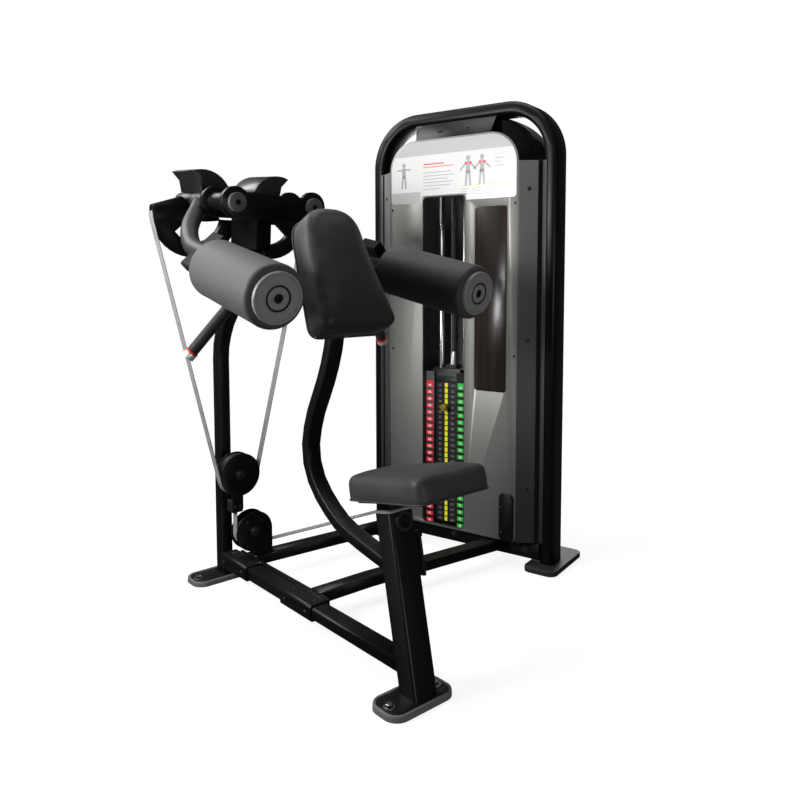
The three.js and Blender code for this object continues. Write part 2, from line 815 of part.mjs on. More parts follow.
// Arm: hub on the pivot shaft, bent tube, clamp block behind the roller, and the roller's spindle
function arm(side, name) {
  const axis = rollerAxis(side);
  const tubeEnd = axis.at(axis.length + armTubeOverhang);
  const blockEnd = axis.length + clampBlockPlace + clampBlockAlong;
  const start = vec(side * hubSpread, armHubEnd - hubRadius, 0).applyMatrix4(headPlace);
  const bendStart = axis.at(blockEnd + clampBlockAlong / 2);
  const points = [start, ...between(start, bendStart, armRouteShares), bendStart, axis.at(blockEnd)];
  const bend = pipe(points, armRadius, roundSides, smallSides);
  const straight = rod(axis.at(blockEnd + armRadius / 2), tubeEnd, armRadius, smallSides);
  const spindleEnd = axis.at(axis.length + armTubeOverhang + armRadius);
  const spindle = rod(axis.at(rollerCapStand / 2), spindleEnd, spindleRadius, smallSides);
  const outer = join(bend, straight, spindle, clampBlock(side, 0)).applyMatrix4(headInverse);
  const x = side * hubSpread;
  const hub = rod(vec(x, barrelEnd + headPlateThickness + runGap, 0), vec(x, armHubEnd, 0), hubRadius);
  const bore = rod(vec(x, -overrun, 0), vec(x, shaftEnd + overrun, 0), shaftRadius + seam);
  const around = 2 * hubRadius;
  const behindHub = box(x - around, x + around, armHubEnd, shaftEnd, -around, around);
  return piece(name, cut(join(outer, hub), bore, behindHub), 0x17181a, 0.4, 0.3);
}

function turnedAlong(axis, profile) {
  const geometry = new THREE.LatheGeometry(profile.map(([r, d]) => flat(r, d)), roundSides);
  const turn = new THREE.Quaternion().setFromUnitVectors(vec(0, 1, 0), axis.along);
  const { x, y, z } = axis.front;
  return geometry.applyQuaternion(turn).translate(x, y, z).applyMatrix4(headInverse);
}

function roller(side, name) {
  const axis = rollerAxis(side);
  const bore = spindleRadius + slideGap;
  const end = axis.length;
  const edge = rollerEdge;
  const soft = edge * (1 - Math.SQRT1_2);
  const profile = [
    [bore, 0], [rollerRadius - edge, 0], [rollerRadius - soft, soft], [rollerRadius, edge],
    [rollerRadius, end - edge], [rollerRadius - soft, end - soft], [rollerRadius - edge, end],
    [bore, end], [bore, 0],
  ];
  return piece(name, turnedAlong(axis, profile), 0x232322, 0.75);
}

function rollerCap(side, name) {
  const axis = rollerAxis(side);
  const stand = rollerCapStand;
  const soft = stand / 3;
  const profile = [
    [0, -stand / 2], [rollerCapHole, -stand / 2], [rollerCapHole, -stand], [rollerCapRadius - soft, -stand],
    [rollerCapRadius, soft - stand], [rollerCapRadius, -seam], [0, -seam],
  ];
  return piece(name, turnedAlong(axis, profile), 0x3a3b3d, 0.5);
}

function handle(side, name) {
  const top = sided(gripTop, side);
  const end = sided(gripEnd, side);
  const along = end.clone().sub(top).normalize();
  const at = (fromEnd) => end.clone().addScaledVector(along, -fromEnd);
  const axis = rollerAxis(side);
  const bends = between(top, axis.at(axis.length + gripStemPlace), gripBendShares);
  const stem = pipe([at(gripCapLength / 2), top, ...bends], gripRadius, roundSides, smallSides);
  const cap = rod(at(gripCapLength), at(0), gripCapRadius, smallSides);
  const collar = rod(at(gripCapLength + gripCollarLength), at(gripCapLength), gripCollarRadius, smallSides);
  const blockEnd = axis.at(axis.length + clampBlockPlace + clampBlockAlong);
  const tube = rod(blockEnd, axis.at(axis.length), armRadius + seam, smallSides);
  const whole = cut(join(stem, cap, collar), tube, clampBlock(side, seam));
  return piece(name, placed(whole, headInverse), 0x101010, 0.7);
}

// Cam: an open rim round a web, with its own hub behind the arm's hub
function camOutline(side) {
  const edge = arc(camShift, -camDrop, camRadius, camStartAngle, camEndAngle, roundSides);
  const last = edge[edge.length - 1];
  const points = [
    ...edge,
    flat(last.x, -camDrop - camRimWidth / 3),
    flat(last.x + camRimWidth, -camDrop - camRimWidth / 3),
    flat(-hubRadius, hubRadius / 2),
    flat(hubRadius, -hubRadius / 4),
    flat(camCrestPlace, camCrest),
  ];
  return points.map((spot) => flat(side * (hubSpread + spot.x), spot.y));
}

function camOpening(side) {
  const inner = camRadius - camRimWidth;
  const edge = arc(camShift, -camDrop, inner, camOpenStart, camOpenEnd, roundSides / 2);
  const points = [...edge, flat(-camWebReach, -camWebDrop), flat(camWebReach, -camWebDrop)];
  return points.map((spot) => flat(side * (hubSpread + spot.x), spot.y));
}

function cam(side, name) {
  const low = camPlace - camThickness / 2;
  const x = side * hubSpread;
  const disc = plate(camOutline(side), 'y', low, low + camThickness);
  const opening = plate(camOpening(side), 'y', low - overrun, low + camThickness + overrun);
  const hub = rod(vec(x, armHubEnd + seam, 0), vec(x, shaftEnd, 0), hubRadius);
  const bore = rod(vec(x, -overrun, 0), vec(x, shaftEnd + overrun, 0), shaftRadius + seam);
  const seat = rod(vec(x, 0, 0), vec(x, armHubEnd + seam, 0), hubRadius + seam);
  const clampX = side * (hubSpread + camShift + camRadius);
  const clampDepth = camRimWidth / 3;
  const clampLow = Math.min(clampX, clampX - side * clampDepth);
  const from = low - beltThickness;
  const to = low + camThickness + beltThickness;
  const clamp = box(clampLow, clampLow + clampDepth, from, to, -camDrop, clampDepth - camDrop);
  return piece(name, cut(join(cut(disc, opening), hub, clamp), bore, seat), ...blackPaint);
}

function counterweight(side, name) {
  const steps = roundSides / 2;
  const hubEdge = arc(0, 0, hubRadius + seam, weightHubStart, weightHubEnd, steps);
  const crest = arc(0, 0, weightRadius, weightTipAngle, weightHeelAngle, steps);
  const points = [...crest, ...hubEdge, flat(weightHollowX, weightHollowZ)];
  const outline = points.map((spot) => flat(side * (hubSpread + spot.x), spot.y));
  const block = plate(outline, 'y', weightStart, shaftEnd);
  const low = camPlace - camThickness / 2;
  const slot = plate(camOutline(side), 'y', low - seam, low + camThickness + seam);
  const hubX = side * hubSpread;
  const clear = rod(vec(hubX, 0, 0), vec(hubX, shaftEnd + overrun, 0), hubRadius + seam);
  return piece(name, cut(block, slot, clear), ...blackPaint);
}

// Flat belts: bands of the middle line in the x and z plane, pushed along y
const camCentre = vec(hubSpread + camShift, camPlace, -camDrop).applyMatrix4(headPlace);
const beltPlaneY = camCentre.y;

function sharedTangent(x1, y1, r1, x2, y2, r2, side) {
  const away = flat(x2 - x1, y2 - y1);
  const lean = Math.acos((r1 - r2) / away.length());
  const angle = Math.atan2(away.y, away.x) + side * lean;
  return angle / deg;
}

function armBelt() {
  const thick = beltThickness / 2 + slideGap;
  const outer = camRadius + thick;
  const under = floatWheelRadius + thick;
  const x = camCentre.x;
  const z = camCentre.z;
  const lean = sharedTangent(x, z, outer, 0, floatZ, under, 1);
  const right = arc(x, z, outer, 0, lean, 2);
  const wrap = arc(0, floatZ, under, lean, -180 - lean, roundSides);
  const left = right.map((spot) => flat(-spot.x, spot.y)).reverse();
  const line = band([...right, ...wrap, ...left], beltThickness);
  const near = beltPlaneY - beltWidth / 2;
  return piece('arm_belt', plate(line, 'y', near, near + beltWidth), ...beltGrey);
}

function wheel(name, centre, axis, radius) {
  const halfWidth = wheelWidth / 2;
  const at = (distance) => centre.clone().addScaledVector(axis, distance);
  const disc = rod(at(-halfWidth), at(halfWidth), radius);
  const boreRadius = (axleRadius + seam) / Math.cos(Math.PI / smallSides);
  const bore = rod(at(-halfWidth - overrun), at(halfWidth + overrun), boreRadius, smallSides);
  return piece(name, cut(disc, bore), 0x2a2a2a, 0.5);
}

const backward = vec(0, 1, 0);
const cheekInner = yokeSpan / 2;
const cheekOuter = cheekInner + cheekThickness;

function floatingYoke() {
  const left = yokeClampX - yokeClampHalf;
  const right = yokeClampX + yokeClampHalf;
  const front = beltPlaneY - cheekOuter;
  const back = beltPlaneY + cheekOuter;
  const cheeks = [front, beltPlaneY + cheekInner].map((y) => {
    const disc = plate(ring(cheekRadius, roundSides, 0, floatZ), 'y', y, y + cheekThickness);
    return join(disc, box(left, right, y, y + cheekThickness, yokeClampTop, floatZ - cheekRadius / 2));
  });
  const onAxle = (y) => vec(0, y, floatZ);
  const axle = rod(onAxle(front - axleHeadLength), onAxle(back), axleRadius, smallSides);
  const bolt = rod(onAxle(front - axleHeadLength), onAxle(front), axleHeadRadius, hexSides);
  const block = box(left, right, front, back, yokeClampBottom, yokeClampTop);
  return piece('floating_yoke', join(...cheeks, axle, bolt, block), ...blackPaint);
}

const baseWheelX = yokeClampX + baseWheelRadius + beltThickness / 2;

function basePulleyGuard() {
  const foot = baseTop + seam;
  const left = railBack + seam;
  const right = guardX + guardRadius;
  const front = beltPlaneY - cheekOuter;
  const back = beltPlaneY + cheekOuter;
  const sides = [front, beltPlaneY + cheekInner].map((y) => {
    const disc = plate(ring(guardRadius, roundSides, guardX, baseWheelZ), 'y', y, y + cheekThickness);
    return join(disc, box(left, right, y, y + cheekThickness, foot, baseWheelZ));
  });
  const axleStart = vec(baseWheelX, front, baseWheelZ);
  const axle = rod(axleStart, vec(baseWheelX, back, baseWheelZ), axleRadius, smallSides);
  const boltHead = vec(guardX, front - axleHeadLength, baseWheelZ);
  const bolt = rod(boltHead, vec(guardX, front + cheekThickness, baseWheelZ), axleHeadRadius, hexSides);
  const spacerTop = baseWheelZ - baseWheelRadius - 2 * axleRadius;
  const spacer = box(left, right, front + cheekThickness / 2, back - cheekThickness / 2, foot, spacerTop);
  return piece('base_pulley_guard', join(...sides, axle, bolt, spacer), ...blackPaint);
}

// Weight belt: a strip through frames, each a middle point with its across and outward directions
function strap(frames) {
  const spots = [];
  for (const { at, across, out } of frames) {
    for (const [a, b] of [[-1, -1], [-1, 1], [1, 1], [1, -1]]) {
      const spot = at.clone().addScaledVector(across, (a * beltWidth) / 2);
      spot.addScaledVector(out, (b * beltThickness) / 2);
      spots.push(spot.x, spot.y, spot.z);
    }
  }
  const faces = [0, 2, 1, 0, 3, 2];
  const last = spots.length / 3 - 4;
  faces.push(last, last + 1, last + 2, last, last + 2, last + 3);
  for (let k = 0; k < last; k += 4) {
    for (let i = 0; i < 4; i += 1) {
      const next = (i + 1) % 4;
      faces.push(k + i, k + next, k + 4 + next, k + i, k + 4 + next, k + 4 + i);
    }
  }
  const geometry = new THREE.BufferGeometry();
  geometry.setAttribute('position', new THREE.Float32BufferAttribute(spots, 3));
  geometry.setIndex(faces);
  geometry.computeVertexNormals();
  return geometry;
}

const towerPoint = (x, y, z) => vec(x, y, z).applyMatrix4(towerPlace);
const towerAlong = vec(1, 0, 0).transformDirection(towerPlace);
const towerAway = vec(0, 1, 0).transformDirection(towerPlace);
const lowWheel = towerPoint(lowWheelX, lowWheelPlace, baseWheelZ);
const lineToTower = lowWheel.clone().sub(vec(baseWheelX, beltPlaneY, baseWheelZ)).normalize();
const lowAxis = vec(-lineToTower.y, lineToTower.x, 0);
const wrapRadius = baseWheelRadius + beltThickness / 2 + slideGap;
const topWrap = towerWheelRadius + beltThickness / 2 + slideGap;
const upX = lowWheelX + topWheelInset;
const downX = stackX - topWrap;
const selectorTop = stackBottom + plateCount * platePitch + topPlateHeight + selectorHeadHeight;

function weightBelt() {
  const frames = [];
  const wrap = (centre, ahead, across, radius, from, to, steps) => {
    for (let i = 0; i <= steps; i += 1) {
      const angle = (from + ((to - from) * i) / steps) * deg;
      const out = ahead.clone().multiplyScalar(Math.cos(angle)).add(vec(0, 0, Math.sin(angle)));
      frames.push({ at: centre.clone().addScaledVector(out, radius), across, out });
    }
  };
  const down = vec(yokeClampX - seam, beltPlaneY, yokeClampBottom - seam);
  frames.push({ at: down, across: lowAxis, out: vec(-1, 0, 0) });
  wrap(vec(baseWheelX, beltPlaneY, baseWheelZ), lineToTower, lowAxis, wrapRadius, -180, -90, wrapSteps);
  wrap(lowWheel, lineToTower, lowAxis, wrapRadius, -90, 0, wrapSteps);
  const first = towerPoint(upX, rodPlace, topWheelZ);
  const second = towerPoint(downX, rodPlace, topWheelZ);
  const toStation = towerAway.clone().negate();
  const twistStart = frames[frames.length - 1];
  const twistEnd = first.clone().addScaledVector(towerAlong, -topWrap);
  for (let i = 1; i < twistSteps; i += 1) {
    const turn = (twistStart.across.angleTo(toStation) * i) / twistSteps;
    const at = twistStart.at.clone().lerp(twistEnd, i / twistSteps);
    const turned = (direction) => direction.clone().applyAxisAngle(vec(0, 0, 1), turn);
    frames.push({ at, across: turned(twistStart.across), out: turned(twistStart.out) });
  }
  wrap(first, towerAlong, toStation, topWrap, 180, 90, wrapSteps);
  wrap(second, towerAlong, toStation, topWrap, 90, 0, wrapSteps);
  const end = towerPoint(stackX, rodPlace, selectorTop + seam);
  frames.push({ at: end, across: toStation, out: towerAlong });
  return piece('weight_belt', strap(frames), ...beltGrey);
}

function lowPulleyYoke() {
  const foot = beamBottom + beamHeight - yokePlate / 2;
  const aim = new THREE.Matrix4().makeBasis(lineToTower, lowAxis, vec(0, 0, 1));
  aim.setPosition(lowWheel.x, lowWheel.y, 0);
  const halfBase = towerWheelRadius / 3;
  const sides = [-1, 1].map((side) => {
    const near = side * cheekInner;
    const far = side * (cheekInner + yokePlate);
    const top = baseWheelZ + axleHeadRadius;
    return box(-halfBase, halfBase, Math.min(near, far), Math.max(near, far), foot, top);
  });
  const span = cheekInner + yokePlate;
  const base = box(-halfBase, halfBase, -span, span, foot, foot + yokePlate);
  const axle = rod(vec(0, -span, baseWheelZ), vec(0, span, baseWheelZ), axleRadius, smallSides);
  return placed(placed(join(...sides, base, axle), aim), towerInverse);
}

function topPulleyYoke() {
  const top = hoopTop - hoopWidth - seam;
  const low = topWheelZ - topShelfDrop;
  const left = upX - axleHeadRadius;
  const right = bracketHalf;
  const sides = [-1, 1].map((side) => {
    const near = rodPlace + side * cheekInner;
    const far = rodPlace + side * (cheekInner + yokePlate);
    return box(left, right, Math.min(near, far), Math.max(near, far), low, top);
  });
  const span = cheekInner + yokePlate;
  const cap = box(left, right, rodPlace - span, rodPlace + span, top - bracketThickness, top);
  const shelf = box(-bracketHalf, right, rodPlace - span, rodPlace + span, low, low + bracketThickness);
  const axles = [upX, downX].map((x) => {
    const axleEnd = vec(x, rodPlace - span, topWheelZ);
    return rod(axleEnd, vec(x, rodPlace + span, topWheelZ), axleRadius, smallSides);
  });
  const slotX = beltThickness + runGap;
  const slotY = beltWidth / 2 + runGap / 2;
  const slotBack = rodPlace + slotY;
  const slot = box(stackX - slotX, stackX + slotX, rodPlace - slotY, slotBack, low - overrun, low + overrun);
  return cut(join(...sides, cap, shelf, ...axles), slot);
}

// Tower frame
function hoop() {
  const legs = new THREE.Shape();
  const inner = hoopHalf - hoopWidth;
  const innerCorner = hoopCorner - hoopWidth;
  const foot = towerFootHeight + seam;
  legs.moveTo(hoopHalf, foot);
  legs.lineTo(hoopHalf, hoopTop - hoopCorner);
  legs.absarc(hoopHalf - hoopCorner, hoopTop - hoopCorner, hoopCorner, 0, Math.PI / 2);
  legs.absarc(hoopCorner - hoopHalf, hoopTop - hoopCorner, hoopCorner, Math.PI / 2, Math.PI);
  legs.lineTo(-hoopHalf, foot);
  legs.lineTo(-inner, foot);
  legs.absarc(hoopCorner - hoopHalf, hoopTop - hoopCorner, innerCorner, Math.PI, Math.PI / 2, true);
  legs.absarc(hoopHalf - hoopCorner, hoopTop - hoopCorner, innerCorner, Math.PI / 2, 0, true);
  legs.lineTo(inner, foot);
  const back = hoopFront + hoopDepth;
  return piece('tower_hoop', plate(legs, 'y', hoopFront, back, hoopEdge, bigArcSteps), ...blackPaint);
}

function towerFoot(side, name) {
  const inner = side * towerFootInner;
  const outer = side * towerFootOuter;
  const left = Math.min(inner, outer);
  const right = Math.max(inner, outer);
  const shape = roundedRect(left, towerFootFront, right, towerFootBack, towerFootRound);
  return piece(name, plate(shape, 'z', 0, towerFootHeight), ...rubber);
}

const legInner = hoopHalf - hoopWidth;

function beam() {
  const end = legInner - seam;
  const body = box(-end, end, hoopFront, hoopFront + beamDepth, beamBottom, beamBottom + beamHeight);
  return piece('tower_beam', join(body, lowPulleyYoke()), ...blackPaint);
}

// Where the weight belt passes the front panel
const slotZ = baseWheelZ - wrapRadius;
const slotDistance = (panelFront - lowWheelPlace) / lineToTower.dot(towerAway);
const slotCrossing = lowWheel.clone().addScaledVector(lineToTower, slotDistance).applyMatrix4(towerInverse);

function frontPanel() {
  const outline = roundedRect(-panelHalf, panelBottom, panelHalf, panelTop, windowCorner, panelCorner);
  outline.holes.push(
    roundedRect(windowLeft, windowBottom, windowRight, windowTop, windowCorner),
    roundedRect(smokedLeft, smokedBottom, smokedRight, smokedTop, smokedCorner),
  );
  const sheet = plate(outline, 'y', panelFront, panelFront + panelThickness, 0, 2 * arcSteps);
  const left = slotCrossing.x - beltSlotWidth / 2;
  const low = slotZ - beltSlotHeight / 2;
  const near = panelFront - overrun;
  const slot = box(left, left + beltSlotWidth, near, panelFront + overrun, low, low + beltSlotHeight);
  return piece('front_panel', cut(sheet, slot), ...greyPanel);
}

function smokedPanel() {
  const right = smokedRight - seam;
  const shape = roundedRect(smokedLeft + seam, smokedBottom + seam, right, smokedTop - seam, smokedCorner);
  return piece('smoked_panel', plate(shape, 'y', panelFront, panelFront + panelThickness), 0x1b1512, 0.15);
}

function sideCover(side, name) {
  const inner = panelHalf + seam;
  const back = hoopFront - seam;
  const lip = coverOuter + coverLipWidth;
  const line = [
    flat(inner, panelFront), flat(inner + coverThickness, panelFront),
    flat(coverOuter, back - coverThickness),
    flat(lip, back - coverThickness), flat(lip, back),
    flat(coverOuter - coverThickness, back), flat(inner, panelFront + coverThickness),
  ];
  const outline = line.map((spot) => flat(side * spot.x, spot.y));
  return piece(name, plate(outline, 'z', coverBottom, coverTop), ...greyPanel);
}

function cornerCover() {
  const shape = roundedRect(cornerCoverLeft, panelBottom, cornerCoverRight, cornerCoverTop, windowCorner);
  const front = panelFront - cornerCoverStand;
  return piece('corner_cover', plate(shape, 'y', front, panelFront - seam), 0x2a2a2a, 0.4);
}

function topBracket() {
  const front = panelFront + panelThickness + seam;
  const back = hoopFront + hoopDepth / 2;
  const top = hoopTop - hoopWidth - seam;
  const side = [
    flat(front, panelTop - bracketFoot), flat(front + bracketThickness, panelTop - bracketFoot),
    flat(front + bracketThickness, panelTop - bracketThickness),
    flat(hoopFront + bracketThickness, top - bracketThickness),
    flat(back, top - bracketThickness), flat(back, top), flat(hoopFront, top), flat(front, panelTop),
  ];
  const bracket = join(plate(side, 'x', -bracketHalf, bracketHalf), topPulleyYoke());
  return piece('top_bracket', bracket, ...blackPaint);
}

function rearShroud() {
  const shape = (inset) => {
    const halfWidth = shroudHalf - inset;
    const corner = shroudCorner - inset;
    const low = shroudBottom + inset;
    return roundedRect(-halfWidth, low, halfWidth, shroudTop - inset, towerFootRound, corner);
  };
  const body = plate(shape(0), 'y', shroudFront, shroudBack, 0, bigArcSteps);
  const back = shroudBack - shroudWall;
  const hollow = plate(shape(shroudWall), 'y', shroudFront - overrun, back, 0, bigArcSteps);
  return piece('rear_shroud', cut(body, hollow), 0x6f6f6d, 0.45);
}

// Guides, plates and selector
const rodPlaces = [stackX - rodSpread, stackX + rodSpread];

function guideRod(x, name) {
  const bottom = beamBottom + beamHeight + seam;
  const top = topWheelZ - topShelfDrop - seam;
  return piece(name, rod(vec(x, rodPlace, bottom), vec(x, rodPlace, top), rodRadius), ...steel);
}

function platesBlock(count, bottom, name) {
  const left = stackX - stackWidth / 2;
  const right = stackX + stackWidth / 2;
  const top = bottom + count * platePitch - plateGroove;
  const block = box(left, right, stackFront, stackFront + stackDepth, bottom, top);
  const grooves = [];
  for (let i = 1; i < count; i += 1) {
    const z = bottom + i * platePitch;
    const near = stackFront - overrun;
    grooves.push(box(left - overrun, right + overrun, near, stackFront + grooveDepth, z - plateGroove, z));
  }
  const bore = (x, radius) => {
    const low = vec(x, rodPlace, bottom - overrun);
    return rod(low, vec(x, rodPlace, top + overrun), radius + runGap / 2, smallSides);
  };
  const bores = [...rodPlaces.map((x) => bore(x, rodRadius)), bore(stackX, selectorRadius)];
  return piece(name, cut(block, ...grooves, ...bores), 0x181818, 0.5, 0.6);
}

const restingCount = plateCount - liftedCount;
const liftedBottom = stackBottom + restingCount * platePitch;
const pinZ = liftedBottom + (platePitch - plateGroove) / 2;

function liftedPlates() {
  const block = platesBlock(liftedCount, liftedBottom, 'lifted_plates');
  const near = vec(stackX, stackFront - overrun, pinZ);
  const hole = rod(near, vec(stackX, rodPlace, pinZ), pinRadius + seam, smallSides);
  block.geometry = cut(block.geometry, hole);
  return block;
}

function topPlate() {
  const bottom = stackBottom + plateCount * platePitch;
  const layer = (half, height) => (
    box(stackX - half, stackX + half, stackFront, stackFront + stackDepth, bottom, bottom + height));
  const lower = layer(rodSpread + 2 * rodRadius, topPlateHeight / 2);
  const block = join(lower, layer(topPlateWidth / 2, topPlateHeight));
  const bore = (x, radius) => rod(vec(x, rodPlace, 0), vec(x, rodPlace, hoopTop), radius, smallSides);
  const guides = rodPlaces.map((x) => bore(x, rodRadius + runGap / 2));
  return piece('top_plate', cut(block, ...guides, bore(stackX, selectorRadius + seam)), 0x101010, 0.4, 0.5);
}

function selectorRod() {
  const bottom = stackBottom + seam;
  const top = vec(stackX, rodPlace, selectorTop);
  const body = rod(vec(stackX, rodPlace, bottom), top, selectorRadius, smallSides);
  const far = vec(stackX, stackFront + stackDepth, pinZ);
  const hole = rod(vec(stackX, stackFront, pinZ), far, pinRadius + seam, smallSides);
  return piece('selector_rod', cut(body, hole), ...steel);
}

function selectorPin() {
  const face = stackFront - seam;
  const at = (y) => vec(stackX, y, pinZ);
  const body = rod(at(face - pinKnobLength / 2), at(rodPlace + pinRadius), pinRadius, smallSides);
  const knob = rod(at(face - pinKnobLength), at(face - seam), pinKnobRadius, smallSides);
  return piece('selector_pin', join(body, knob), 0xb7a023, 0.4);
}

function bumper() {
  const bottom = beamBottom + beamHeight + seam;
  const top = stackBottom - seam;
  const pads = rodPlaces.map((x) => {
    const foot = vec(x, rodPlace, bottom);
    return rod(foot, vec(x, rodPlace, top), bumperRadius, smallSides);
  });
  const web = box(...rodPlaces, rodPlace - rodRadius, rodPlace + rodRadius, bottom, top);
  const holes = rodPlaces.map((x) => rod(vec(x, rodPlace, 0), vec(x, rodPlace, hoopTop), rodRadius + seam));
  return piece('stack_bumper', cut(join(...pads, web), ...holes), ...rubber);
}

function labelStrip(side, name) {
  const inner = stackX + side * stripInner;
  const outer = stackX + side * stripOuter;
  const edge = outer + side * stripFlange;
  const front = panelFront + panelThickness + seam;
  const outline = [
    flat(inner, 0), flat(inner, stripBack), flat(edge, stripBack),
    flat(edge, front), flat(outer, front), flat(outer, 0),
  ];
  return piece(name, plate(outline, 'z', stripBottom, stripTop), 0x0b0b0b, 0.4);
}

// The whole machine
const station = new THREE.Group();
station.add(baseTube(), sideRail(), ...crossTubes());
station.add(sleeve('front_sleeve', frontSleeveStart, frontSleeveLength));
station.add(sleeve('rear_sleeve', rearSleeveStart, rearSleeveLength));
station.add(boot('front_foot_boot', frontFootX, frontFootY), boot('rear_foot_boot', rearFootX, rearFootY));
station.add(seatUpright(), rearUpright(), padSupport(), chestPad());
station.add(floatingYoke(), basePulleyGuard(), armBelt(), weightBelt());
station.add(wheel('floating_wheel', vec(0, beltPlaneY, floatZ), backward, floatWheelRadius));
station.add(wheel('base_wheel', vec(baseWheelX, beltPlaneY, baseWheelZ), backward, baseWheelRadius));
station.add(wheel('low_pulley_wheel', lowWheel, lowAxis, baseWheelRadius));

const post = frame(postPlace);
post.add(seatLever(), seatPost(), seatPad());

const head = frame(headPlace);
head.add(headBracket());
for (const [side, hand] of [[-1, 'left'], [1, 'right']]) {
  head.add(arm(side, `arm_${hand}`), handle(side, `handle_${hand}`));
  head.add(pivotShaft(side, `pivot_shaft_${hand}`), cam(side, `cam_${hand}`));
  head.add(counterweight(side, `counterweight_${hand}`));
  head.add(roller(side, `roller_${hand}`), rollerCap(side, `roller_cap_${hand}`));
}

const tower = frame(towerPlace);
tower.add(hoop(), beam(), frontPanel(), smokedPanel(), cornerCover(), topBracket(), rearShroud());
for (const [side, hand] of [[-1, 'left'], [1, 'right']]) {
  tower.add(towerFoot(side, `tower_foot_${hand}`), sideCover(side, `side_cover_${hand}`));
  tower.add(labelStrip(side, `label_strip_${hand}`));
  tower.add(guideRod(stackX + side * rodSpread, `guide_rod_${hand}`));
}
tower.add(platesBlock(restingCount, stackBottom, 'resting_plates'), liftedPlates(), topPlate());
tower.add(selectorRod(), selectorPin(), bumper());
tower.add(wheel('top_pulley_wheel_left', vec(upX, rodPlace, topWheelZ), backward, towerWheelRadius));
tower.add(wheel('top_pulley_wheel_right', vec(downX, rodPlace, topWheelZ), backward, towerWheelRadius));

// The origin sits on the floor under the middle of the machine's box
const machine = new THREE.Group();
machine.add(station, post, head, tower);
const bounds = new THREE.Box3().setFromObject(machine, true);
const centre = bounds.getCenter(vec(0, 0, 0));
machine.position.set(-centre.x, -centre.y, -bounds.min.z);

export default machine;
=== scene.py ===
import bmesh
import bpy
import math
from mathutils import Matrix, Vector, noise


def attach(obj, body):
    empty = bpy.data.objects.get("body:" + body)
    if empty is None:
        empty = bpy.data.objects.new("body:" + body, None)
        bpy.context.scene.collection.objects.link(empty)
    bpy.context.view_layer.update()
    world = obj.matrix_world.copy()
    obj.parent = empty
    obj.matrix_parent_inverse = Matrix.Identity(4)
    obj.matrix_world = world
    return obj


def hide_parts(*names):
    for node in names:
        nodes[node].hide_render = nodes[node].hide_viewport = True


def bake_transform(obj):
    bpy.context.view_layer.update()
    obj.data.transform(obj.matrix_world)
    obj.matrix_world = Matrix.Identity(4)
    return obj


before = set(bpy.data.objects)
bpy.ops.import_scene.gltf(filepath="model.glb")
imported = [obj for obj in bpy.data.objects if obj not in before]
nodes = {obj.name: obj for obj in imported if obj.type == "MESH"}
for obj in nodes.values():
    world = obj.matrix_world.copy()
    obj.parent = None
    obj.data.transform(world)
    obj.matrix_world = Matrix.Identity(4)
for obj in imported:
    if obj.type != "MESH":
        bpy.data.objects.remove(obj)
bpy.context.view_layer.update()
print("frame loaded:", len(nodes), "nodes")

# The station's own frame and those of its leaning, tilted and turned parts, in millimetres
station = Matrix.Scale(0.001, 4) @ Matrix.Translation((-345.7605, -490.4183, 0))
post = station @ Matrix.Translation((0, 5.7, 0)) @ Matrix.Rotation(math.radians(-12), 4, "X")
head = station @ Matrix.Translation((0, 631, 1252)) @ Matrix.Rotation(math.radians(4.8), 4, "X")
tower = station @ Matrix.Translation((747.4, 647.3, 0)) @ Matrix.Rotation(math.radians(14.4 - 90), 4, "Z")
chest = station @ Matrix.Translation((0, 271, 1050)) @ Matrix.Rotation(math.radians(64), 4, "X")
hands = {"left": -1, "right": 1}


# Shader building: a socket that takes part in arithmetic, and a finish that makes nodes

class Value:
    def __init__(self, finish, socket):
        self.finish = finish
        self.socket = socket

    def maths(self, operation, first, second):
        return self.finish.node("ShaderNodeMath", {"operation": operation}, {0: first, 1: second})

    def __add__(self, other):
        return self.maths("ADD", self, other)

    __radd__ = __add__

    def __mul__(self, other):
        return self.maths("MULTIPLY", self, other)

    __rmul__ = __mul__

    def __sub__(self, other):
        return self.maths("SUBTRACT", self, other)

    def __rsub__(self, other):
        return self.maths("SUBTRACT", other, self)


